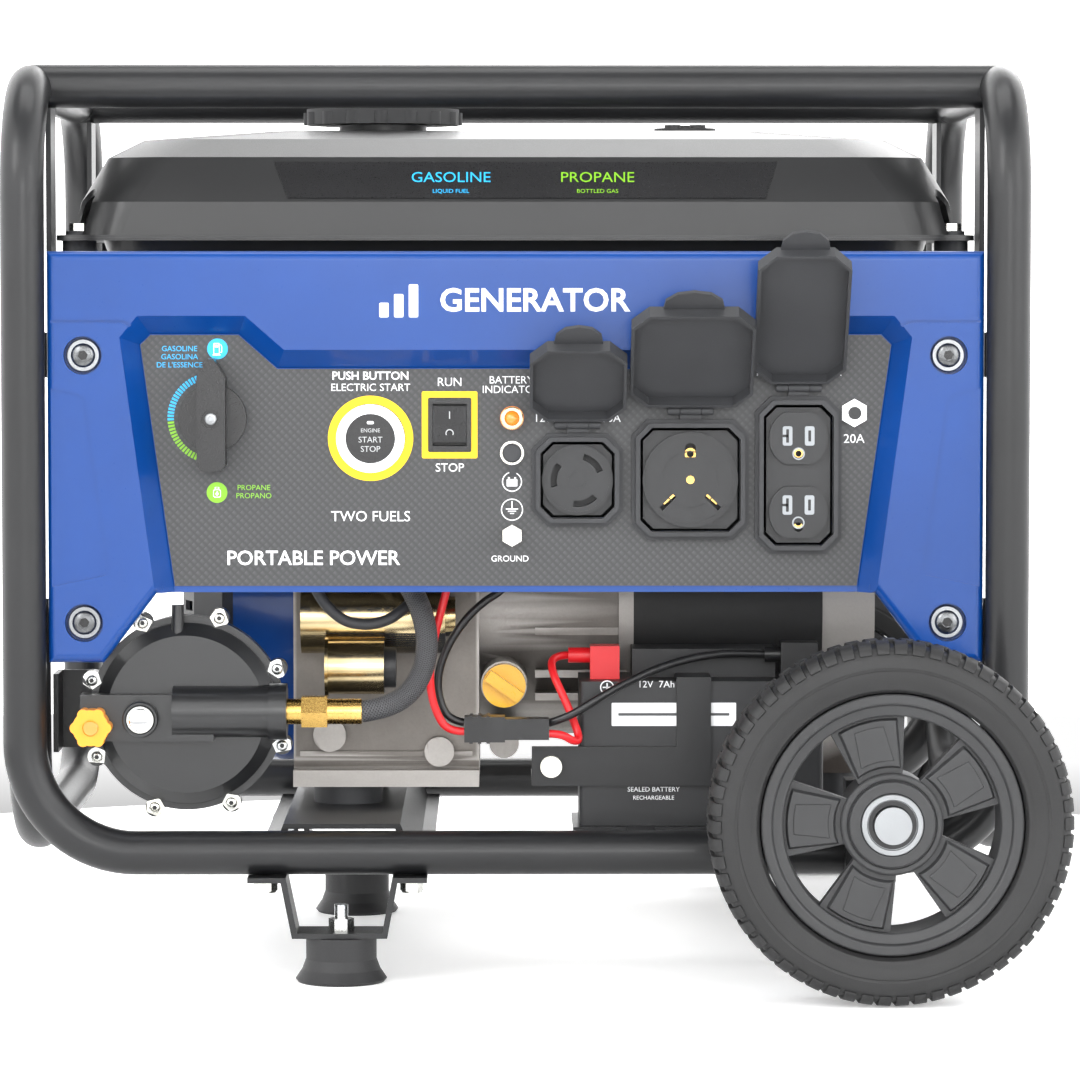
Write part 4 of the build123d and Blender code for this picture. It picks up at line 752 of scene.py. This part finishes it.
def control_prints():
    y = PLATE_Y
    knob = centre("selector_knob")
    kx = knob.x
    kz = START_AT.z + 0.0118
    arcs = {"cyan": [], "green": []}
    for i in range(33):
        degrees = 102 + i * 4.6
        if degrees > 250:
            break
        inner, outer = 0.0226, 0.0263
        ink = "cyan" if degrees < 182 else "green"
        a, b = radians(degrees), radians(degrees + 3.0)
        arcs[ink].append([(kx + inner * cos(a), kz + inner * sin(a)),
                          (kx + outer * cos(a), kz + outer * sin(a)),
                          (kx + outer * cos(b), kz + outer * sin(b)),
                          (kx + inner * cos(b), kz + inner * sin(b))])
    for ink, shapes in arcs.items():
        flat_mark("selector_arc_" + ink, shapes, y, ink)
    ring_mark("selector_disc_fuel", [(kx + 0.0028, kz + 0.0400, 0.0060, 0.0002)], y, "cyan", count=40)
    ring_mark("selector_disc_gas", [(kx + 0.0022, kz - 0.0432, 0.0060, 0.0002)], y, "green", count=40)
    pump(kx + 0.0028, kz + 0.0400, 0.0068, "white", "selector_pump", y - 0.00012)
    bottle(kx + 0.0022, kz - 0.0432, 0.0062, "white", "selector_bottle", y - 0.00012)
    for i, word in enumerate(("GASOLINE", "GASOLINA", "DE L'ESSENCE")):
        mark_text("selector_word_%d" % i, word, kx - 0.0192, kz + 0.0400 - 0.0047 * i, 0.0044, "cyan")
    for i, word in enumerate(("PROPANE", "PROPANO")):
        mark_text("selector_gas_word_%d" % i, word, kx + 0.0235, kz - 0.0405 - 0.0047 * i, 0.0044, "green")
    sx, sz = START_AT.x, START_AT.z
    ring_mark("start_ring_print", [(sx, sz, 0.0247, 0.0201)], y, "yellow", 0.0003)
    mark_text("start_word_top", "PUSH BUTTON", sx, sz + 0.0360, 0.0066, "white", bold=0.00012)
    mark_text("start_word_low", "ELECTRIC START", sx, sz + 0.0293, 0.0061, "white")
    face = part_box("start_button")[0].y
    for i, (word, size) in enumerate((("ENGINE", 0.0032), ("START", 0.0048), ("STOP", 0.0048))):
        drop = (0.0046, -0.0008, -0.0062)[i]
        word_obj = lettering("button_word_%d" % i, word, sx, face, sz + drop, size, "silver")
        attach(word_obj, "start_button")
    led = [(sx + px, sz + 0.0092 + pz) for px, pz in rounded_box(0, 0, 0.0040, 0.0018, 0.0008, 4)]
    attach(flat_mark("button_light", [led], face, "white"), "start_button")
    rx, rz = ROCKER_AT.x, ROCKER_AT.z
    outer = rounded_box(rx, rz, 0.0322, 0.0388, 0.0010, 4)
    inner = rounded_box(rx, rz, 0.0250, 0.0316, 0.0010, 4)
    bm = bmesh.new()
    add_ring(bm, outer, inner, y - 0.0003, y)
    piece("rocker_frame_print", mesh_from("rocker_frame_print", bm), INKS["yellow"])
    mark_text("rocker_run", "RUN", rx, rz + 0.0246, 0.0070, "white")
    mark_text("rocker_stop", "STOP", rx, rz - 0.0250, 0.0070, "white")
    switch_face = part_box("rocker_switch")[0].y + 0.0017
    rock = lettering("rocker_on", "I", rx, switch_face, rz + 0.0055, 0.0062, "silver")
    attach(rock, "rocker_switch")
    ring = ring_mark("rocker_off", [(rx, rz - 0.0048, 0.0024, 0.0018)], switch_face, "silver")
    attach(ring, "rocker_switch")
    lx = LAMP_AT.x
    top, low_fit = max(LAMP_AT.z, JACK_AT.z), min(LAMP_AT.z, JACK_AT.z)
    mark_text("battery_word_0", "BATTERY", lx - 0.0005, top + 0.0218, 0.0062, "white")
    mark_text("battery_word_1", "INDICATOR", lx - 0.0005, top + 0.0163, 0.0062, "white")
    ring_mark("battery_ring", [(lx, low_fit - 0.0168, 0.0058, 0.0052)], y, "white")
    cells = [rounded_box(lx, low_fit - 0.0174, 0.0062, 0.0042, 0.0004, 3)]
    cells += [rounded_box(lx + s * 0.0018, low_fit - 0.0146, 0.0012, 0.0010, 0.0003, 2) for s in (-1, 1)]
    flat_mark("battery_icon", cells, y, "white")
    ring_mark("earth_ring", [(lx, low_fit - 0.0330, 0.0064, 0.0058)], y, "white")
    bars = [rounded_box(lx, low_fit - 0.0303, 0.0006, 0.0046, 0.0002, 2)]
    bars += [rounded_box(lx, low_fit - 0.0326 - 0.0013 * i, w, 0.0006, 0.0002, 2)
             for i, w in enumerate((0.0072, 0.0048, 0.0024))]
    flat_mark("earth_icon", bars, y, "white")
    mark_text("ground_word", "GROUND", lx - 0.0012, low_fit - 0.0616, 0.0050, "white")
    mark_text("breaker_word", "20A", BREAKER_AT.x, BREAKER_AT.z - 0.0152, 0.0074, "white")
    names = (("outlet_word_small", "120V", "30A", SOCKETS[0]),
             ("outlet_word_medium", "120V", "30A", SOCKETS[1]),
             ("outlet_word_tall", "120V", "20A", SOCKETS[2]))
    for name, volts, amps, (lo, hi) in names:
        mid = (lo.x + hi.x) / 2
        reach = {"outlet_word_small": 0.0245, "outlet_word_medium": 0.033, "outlet_word_tall": 0.0245}[name]
        height = {"outlet_word_small": 0.0150, "outlet_word_medium": 0.0245,
                  "outlet_word_tall": 0.0203}[name]
        mark_text(name + "_volts", volts, mid - reach * 0.75, hi.z + height, 0.0066, "white")
        mark_text(name + "_amps", amps, mid + reach * 0.80, hi.z + height, 0.0066, "white")
    mark_text("fuels_word", "TWO FUELS", sx, sz - 0.0455, 0.0086, "white")
    mark_text("type_word", "PORTABLE POWER", sx - 0.0335, sz - 0.0698, 0.0118, "white", bold=0.00015)


def pump(x, z, h, ink, name, y):
    w = h * 0.52
    body = rounded_box(x - 0.08 * h, z, w, h, 0.08 * h, 4)
    bm = bmesh.new()
    add_ring(bm, body, scaled(body, x - 0.08 * h, z, 0.78), y - 0.00012, y)
    add_prism(bm, rounded_box(x - 0.08 * h, z + 0.22 * h, w * 0.62, h * 0.20, 0.03 * h, 3), y - 0.00012, y)
    add_prism(bm, rounded_box(x - 0.08 * h, z - 0.52 * h, w * 1.3, h * 0.09, 0.03 * h, 3), y - 0.00012, y)
    hose = [(x + 0.20 * h, z - 0.30 * h), (x + 0.33 * h, z - 0.36 * h), (x + 0.40 * h, z - 0.25 * h),
            (x + 0.40 * h, z + 0.20 * h), (x + 0.28 * h, z + 0.42 * h), (x + 0.24 * h, z + 0.37 * h),
            (x + 0.34 * h, z + 0.16 * h), (x + 0.34 * h, z - 0.22 * h), (x + 0.31 * h, z - 0.28 * h),
            (x + 0.21 * h, z - 0.24 * h)]
    add_prism(bm, hose, y - 0.00012, y)
    piece(name, mesh_from(name, bm), INKS[ink])


def bottle(x, z, h, ink, name, y):
    bm = bmesh.new()
    body = rounded_box(x, z - 0.08 * h, 0.72 * h, 0.76 * h, 0.16 * h, 6)
    add_ring(bm, body, scaled(body, x, z - 0.08 * h, 0.82), y - 0.00012, y)
    collar = rounded_box(x, z + 0.42 * h, 0.42 * h, 0.20 * h, 0.05 * h, 4)
    add_ring(bm, collar, scaled(collar, x, z + 0.42 * h, 0.66), y - 0.00012, y)
    flame = [(x, z + 0.17 * h), (x + 0.14 * h, z - 0.06 * h), (x + 0.13 * h, z - 0.2 * h), (x, z - 0.3 * h),
             (x - 0.13 * h, z - 0.2 * h), (x - 0.14 * h, z - 0.06 * h), (x - 0.05 * h, z + 0.02 * h)]
    add_prism(bm, flame, y - 0.00012, y)
    piece(name, mesh_from(name, bm), INKS[ink])


control_prints()


# ---- outlets ----
def add_arc(bm, cx, cz, r, start, sweep_deg, width, y0, y1, steps=10):
    outer = [(cx + (r + width / 2) * cos(radians(start + sweep_deg * i / steps)),
              cz + (r + width / 2) * sin(radians(start + sweep_deg * i / steps))) for i in range(steps + 1)]
    inner = [(cx + (r - width / 2) * cos(radians(start + sweep_deg * i / steps)),
              cz + (r - width / 2) * sin(radians(start + sweep_deg * i / steps))) for i in range(steps + 1)]
    add_prism(bm, outer + list(reversed(inner)), y0, y1)


def outlet_details():
    face = min(low.y for low, _ in SOCKETS)
    brass = bmesh.new()
    shutters = bmesh.new()
    rings = bmesh.new()
    (low, high) = SOCKETS[0]
    cx, cz = (low.x + high.x) / 2, (low.z + high.z) / 2
    for start in (68, 188, 308):
        add_arc(brass, cx, cz, 0.0113, start - 40, 34, 0.0007, face + 0.0012, face + 0.004)
    add_ring(rings, circle(cx, cz, 0.0194, 72), circle(cx, cz, 0.0184, 72), face - 0.0004, face + 0.0002)
    add_ring(rings, circle(cx, cz, 0.0052, 48), circle(cx, cz, 0.0046, 48), face - 0.0003, face + 0.0002)
    (low, high) = SOCKETS[1]
    cx, cz = (low.x + high.x) / 2, (low.z + high.z) / 2
    add_ring(rings, circle(cx, cz, 0.0258, 80), circle(cx, cz, 0.0247, 80), face - 0.0004, face + 0.0002)
    add_ring(rings, circle(cx, cz, 0.0166, 72), circle(cx, cz, 0.0160, 72), face - 0.0003, face + 0.0002)
    add_prism(brass, circle(cx, cz, 0.0024, 32), face - 0.0003, face + 0.0004)
    add_ring(brass, circle(cx, cz + 0.0150, 0.0034, 36), circle(cx, cz + 0.0150, 0.0020, 36), face + 0.0010,
             face + 0.004)
    for side in (-1, 1):
        mid = Vector((cx + side * 0.0115, cz - 0.0105))
        along = Vector((side * cos(radians(-40)), sin(radians(-40)) * 1.0)).normalized() * 0.0052
        off = Vector((-along.y, along.x)).normalized() * 0.0007
        slit = [mid - along - off, mid + along - off, mid + along + off, mid - along + off]
        add_prism(brass, [(v.x, v.y) for v in slit], face + 0.0008, face + 0.004)
    (low, high) = SOCKETS[2]
    cx = (low.x + high.x) / 2
    for cz in ((low.z + high.z) / 2 + 0.0200, (low.z + high.z) / 2 - 0.0200):
        for side, tall in ((-1, 0.0092), (1, 0.0076)):
            add_prism(shutters, rounded_box(cx + side * 0.0064, cz + 0.0028, 0.0056, 0.0112, 0.0012, 4),
                      face - 0.0005, face + 0.0002)
        add_ring(shutters, circle(cx, cz - 0.0075, 0.0036, 36), circle(cx, cz - 0.0075, 0.0028, 36),
                 face - 0.0004,
                 face + 0.0002)
        add_ring(brass, circle(cx, cz - 0.0075, 0.0028, 36), circle(cx, cz - 0.0075, 0.0018, 36),
                 face + 0.0004,
                 face + 0.003)
        slots = bmesh.new()
        for side, tall in ((-1, 0.0078), (1, 0.0064)):
            add_prism(slots, rounded_box(cx + side * 0.0064, cz + 0.0028, 0.0016, tall, 0.0003, 3),
                      face - 0.0006,
                      face - 0.0004)
        add_prism(slots, rounded_box(cx - 0.0080, cz + 0.0028, 0.0040, 0.0015, 0.0003, 3), face - 0.0006,
                  face - 0.0004)
        name = "duplex_slots_" + ("upper" if cz > (low.z + high.z) / 2 else "lower")
        piece(name, mesh_from(name, slots), MATS["carbon_black"])
    piece("outlet_contacts", mesh_from("outlet_contacts", brass), MATS["brass_metal"])
    piece("outlet_shutters", mesh_from("outlet_shutters", shutters), MATS["steel_shutter"])
    smooth(piece("outlet_rings", mesh_from("outlet_rings", rings), MATS["black_plastic"]))


outlet_details()


# ---- tank badge ----
def badge(name, corners, mat, thick):
    """A thin label on the sloping front of the tank, from four corners given left to right."""
    bm = bmesh.new()
    steps = 24
    rows = []
    for u in range(steps + 1):
        t = u / steps
        low = corners[0].lerp(corners[1], t)
        high = corners[3].lerp(corners[2], t)
        rows.append([bm.verts.new(low.lerp(high, v / 4)) for v in range(5)])
    for a, b in zip(rows, rows[1:]):
        for v in range(4):
            bm.faces.new((a[v], b[v], b[v + 1], a[v + 1]))
    obj = piece(name, mesh_from(name, bm), mat)
    solid = obj.modifiers.new("film", "SOLIDIFY")
    solid.thickness = thick
    solid.offset = 0.0
    return obj


def tank_front(z):
    """Depth of the tank's front face at a height, between its two lower sections."""
    low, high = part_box("tank_upper_shell")
    base = low.z
    half = (high.y - low.y) / 2
    rows = ((base, half - 0.010), (base + 0.021, half - 0.014), (base + 0.0475, half - 0.030))
    for (z0, h0), (z1, h1) in zip(rows, rows[1:]):
        if z <= z1:
            return -(h0 + (h1 - h0) * (z - z0) / (z1 - z0))
    return -rows[-1][1]


def tank_label():
    low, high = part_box("tank_upper_shell")
    mid = (low.x + high.x) / 2
    base = low.z
    lift = 0.0006
    z0, z1 = base + 0.0232, base + 0.0445

    def spot(x, z):
        return Vector((mid + x, tank_front(z) - lift, z))

    badge("tank_label", [spot(-0.1335, z0), spot(0.1465, z0), spot(0.1535, z1), spot(-0.1420, z1)],
          MATS["label_black"], 0.0004)
    slope = atan((tank_front(z1) - tank_front(z0)) / (z1 - z0))
    for name, words, x, dz, size, ink in (
            ("fuel_name_gasoline", "GASOLINE", -0.0380, 0.0014, 0.0100, "cyan"),
            ("fuel_use_gasoline", "LIQUID FUEL", -0.0380, -0.0066, 0.0038, "cyan"),
            ("fuel_name_propane", "PROPANE", 0.0480, 0.0014, 0.0100, "green"),
            ("fuel_use_propane", "BOTTLED GAS", 0.0480, -0.0066, 0.0038, "green")):
        z = (z0 + z1) / 2 + dz
        lettering(name, words, mid + x, tank_front(z) - lift - 0.0004, z, size, ink, tilt=slope,
                  bold=0.0002 if size > 0.01 else 0.0)


tank_label()


# ---- knob, lamp and small panel fittings ----
def panel_small_parts():
    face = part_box("selector_knob")[0].y
    bm = bmesh.new()
    kx, kz = centre("selector_knob").x, START_AT.z + 0.0118
    place = facing(kx, face, kz) @ Matrix.Scale(MM, 4)
    add_lathe(bm, [(0, -0.4), (3.4, -0.4), (3.4, 0.4), (2.9, 0.9), (1.6, 1.1), (1.5, 0.3), (0, 0.3)],
              place, 40)
    smooth(piece("knob_screw", mesh_from("knob_screw", bm), MATS["steel_grey"], "selector_knob"))
    bm = bmesh.new()
    top = FITTINGS[2] if FITTINGS[2][0].z > FITTINGS[3][0].z else FITTINGS[3]
    place = facing((top[0].x + top[1].x) / 2, top[0].y, (top[0].z + top[1].z) / 2) @ Matrix.Scale(MM, 4)
    lens = [(0, 2.4), (1.6, 2.2), (3.0, 1.4), (3.9, 0.0), (3.9, -0.6)]
    add_lathe(bm, lens[::-1], place, 40)
    smooth(piece("lamp_lens", mesh_from("lamp_lens", bm), MATS["lamp_amber"]))
    bm = bmesh.new()
    rim_ring = [(3.95, -0.8), (6.6, -0.8), (6.6, 0.5), (6.0, 1.0), (4.4, 1.0), (3.95, 0.4), (3.95, -0.8)]
    add_lathe(bm, rim_ring, place, 48)
    smooth(piece("lamp_bezel", mesh_from("lamp_bezel", bm), MATS["gold_zinc"]))
    other = FITTINGS[3] if top is FITTINGS[2] else FITTINGS[2]
    bm = bmesh.new()
    jx, jz = (other[0].x + other[1].x) / 2, (other[0].z + other[1].z) / 2
    place = facing(jx, other[0].y, jz) @ Matrix.Scale(MM, 4)
    cap = [(0, 3.2), (4.6, 3.2), (5.4, 2.6), (5.6, 1.6), (5.6, 0.0), (0, 0.0)]
    add_lathe(bm, cap[::-1], place, 48)
    outline = rounded_box(jx + 0.0005, jz - 0.0088, 0.0042, 0.0090, 0.0016, 5)
    add_prism(bm, outline, other[0].y + 0.0004, other[0].y + 0.0018)
    smooth(piece("jack_cap", mesh_from("jack_cap", bm), MATS["black_rubber"]))


panel_small_parts()


# ---- regulator ----
def regulator_details():
    cap = centre("inlet_cap")
    bm = bmesh.new()
    place = facing(cap.x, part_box("inlet_cap")[0].y, cap.z) @ Matrix.Scale(MM, 4)
    add_lathe(bm, [(0, -0.3), (4.6, -0.3), (4.6, 1.0), (4.0, 1.5), (0, 1.5)], place, 40)
    smooth(piece("inlet_cap_centre", mesh_from("inlet_cap_centre", bm), MATS["lamp_amber"], "inlet_cap"))
    button = centre("primer_button")
    bm = bmesh.new()
    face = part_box("primer_button")[0].y
    place = facing(button.x, face, button.z) @ Matrix.Scale(MM, 4)
    add_lathe(bm, [(0, 0.9), (4.5, 0.8), (6.4, 0.2), (7.2, -0.8), (7.3, -3.0)][::-1], place, 48)
    smooth(piece("primer_face", mesh_from("primer_face", bm), MATS["chrome_trim"], "primer_button"), 60)
    bm = bmesh.new()
    collar = [(8.1, -6.5), (10.4, -6.5), (10.4, -1.6), (9.8, -0.9), (8.6, -0.9), (8.1, -1.5), (8.1, -6.5)]
    add_lathe(bm, collar, place, 56)
    smooth(piece("primer_collar", mesh_from("primer_collar", bm), MATS["satin_cast_black"]))
    heads = bmesh.new()
    dots = bmesh.new()
    for pair in solids("regulator_cover")[1:]:
        x, z = (pair[0].x + pair[1].x) / 2, (pair[0].z + pair[1].z) / 2
        place = facing(x, pair[0].y, z) @ Matrix.Scale(MM, 4)
        add_lathe(heads, [(0, 0.5), (1.5, 0.5), (1.6, 1.4), (2.6, 1.2), (3.3, 0.2), (3.35, -0.6)][::-1],
                  place, 36)
        add_plate(dots, place, [polar(1.45, 60 * i) for i in range(6)], 0.52, 0.56)
    smooth(piece("cover_screw_heads", mesh_from("cover_screw_heads", heads), MATS["bright_steel"]), 50)
    piece("cover_screw_sockets", mesh_from("cover_screw_sockets", dots), MATS["carbon_black"])


regulator_details()


# ---- battery front ----
def battery_front():
    low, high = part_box("battery_case")
    y = low.y
    bm = bmesh.new()
    label = rounded_box(low.x + 0.0560, high.z - 0.0366, 0.0740, 0.0138, 0.0005, 3)
    add_prism(bm, label, y - 0.0002, y)
    piece("battery_label", mesh_from("battery_label", bm), INKS["white"])
    rule = rounded_box(low.x + 0.0560, high.z - 0.0366, 0.0660, 0.0016, 0.0004, 3)
    flat_mark("battery_label_rule", [rule], y - 0.0002, "grey", 0.0001)
    x, z = low.x + 0.0163, high.z - 0.0205
    ring_mark("battery_plus_ring", [(x, z, 0.0042, 0.0035)], y, "white", 0.0002)
    cross = [rounded_box(x, z, 0.0052, 0.0008, 0.0002, 2), rounded_box(x, z, 0.0008, 0.0052, 0.0002, 2)]
    flat_mark("battery_plus", cross, y, "white", 0.0002)
    lettering("battery_volts", "12V  7Ah", low.x + 0.0455, y, high.z - 0.0188, 0.0058, "white")
    lettering("battery_type", "SEALED BATTERY", low.x + 0.0440, y, low.z + 0.0215, 0.0040, "white")
    lettering("battery_note", "RECHARGEABLE", low.x + 0.0440, y, low.z + 0.0165, 0.0034, "white")


battery_front()


# ---- studio
def studio():
    floor_mat, nodes, links, shader = material("studio_floor")
    speck = noise(nodes, links, object_coords(nodes, links), 30.0)
    links.new(ramp(nodes, links, speck, ((0.0, grey(0.86)), (1.0, grey(0.9)))), shader.inputs["Base Color"])
    shader.inputs["Roughness"].default_value = 0.55
    shader.inputs["Emission Color"].default_value = (1.0, 1.0, 1.0, 1)
    distance = add(nodes, "ShaderNodeVectorMath", operation="LENGTH")
    links.new(object_coords(nodes, links), distance.inputs[0])
    glow = add(nodes, "ShaderNodeMapRange")
    for socket, value in (("From Min", 0.45), ("From Max", 1.1), ("To Min", 0.3), ("To Max", 1.0)):
        glow.inputs[socket].default_value = value
    links.new(distance.outputs["Value"], glow.inputs["Value"])
    links.new(glow.outputs["Result"], shader.inputs["Emission Strength"])
    bm = bmesh.new()
    flat, bend, rise = 11.0, 4.3, 18.4
    profile = [(0.0, 0.0), (1.5, 0.0), (flat, 0.0)]
    profile += [(flat + bend * sin(pi * i / 32), bend - bend * cos(pi * i / 32)) for i in range(1, 17)]
    profile += [(flat + bend, rise)]
    add_lathe(bm, profile, Matrix.Identity(4), 96)
    mesh = bpy.data.meshes.new("studio_floor")
    bmesh.ops.reverse_faces(bm, faces=bm.faces)
    bm.to_mesh(mesh)
    bm.free()
    mesh.materials.append(floor_mat)
    mesh.shade_smooth()
    floor = bpy.data.objects.new("studio_floor", mesh)
    bpy.context.scene.collection.objects.link(floor)


def softbox(name, place, aim, size, power, colour=(1, 1, 1)):
    light = bpy.data.lights.new(name, "AREA")
    light.shape = "RECTANGLE"
    light.size, light.size_y = size
    light.energy = power
    light.color = colour
    obj = bpy.data.objects.new(name, light)
    obj.location = place
    obj.rotation_euler = (Vector(aim) - Vector(place)).to_track_quat("-Z", "Y").to_euler()
    bpy.context.scene.collection.objects.link(obj)


def lights():
    aim = (0.0, -0.1, 0.25)
    softbox("key_light", (-1.7, -2.1, 2.0), aim, (1.1, 1.3), 27)
    softbox("fill_light", (2.0, -1.8, 1.1), aim, (1.1, 1.5), 12)
    softbox("top_light", (0.0, 0.1, 2.5), aim, (1.8, 1.1), 23)
    softbox("front_light", (0.2, -2.75, 0.75), (0.0, -0.1, 0.2), (1.0, 0.6), 9)
    softbox("back_light", (0.6, 2.2, 1.6), aim, (1.6, 1.0), 12)
    world = bpy.data.worlds.new("studio_world")
    bpy.context.scene.world = world
    world.use_nodes = True
    world.node_tree.nodes["Background"].inputs["Color"].default_value = (1, 1, 1, 1)
    world.node_tree.nodes["Background"].inputs["Strength"].default_value = 0.2


CAMERA_PLACE = (-0.01615, -2.9025, 0.412)
CAMERA_TILT = radians(90 - 3.30)
CAMERA_YAW = -radians(0.47)
CAMERA_LENS = 155.97


def camera():
    lens = bpy.data.cameras.new("camera")
    lens.lens = CAMERA_LENS
    lens.sensor_width = 36.0
    lens.clip_start = 0.1
    obj = bpy.data.objects.new("camera", lens)
    obj.location = CAMERA_PLACE
    obj.rotation_euler = (CAMERA_TILT, 0.0, CAMERA_YAW)
    bpy.context.scene.collection.objects.link(obj)
    bpy.context.scene.camera = obj


studio()
lights()
camera()
bpy.context.scene.view_settings.view_transform = "Standard"

bpy.context.view_layer.update()
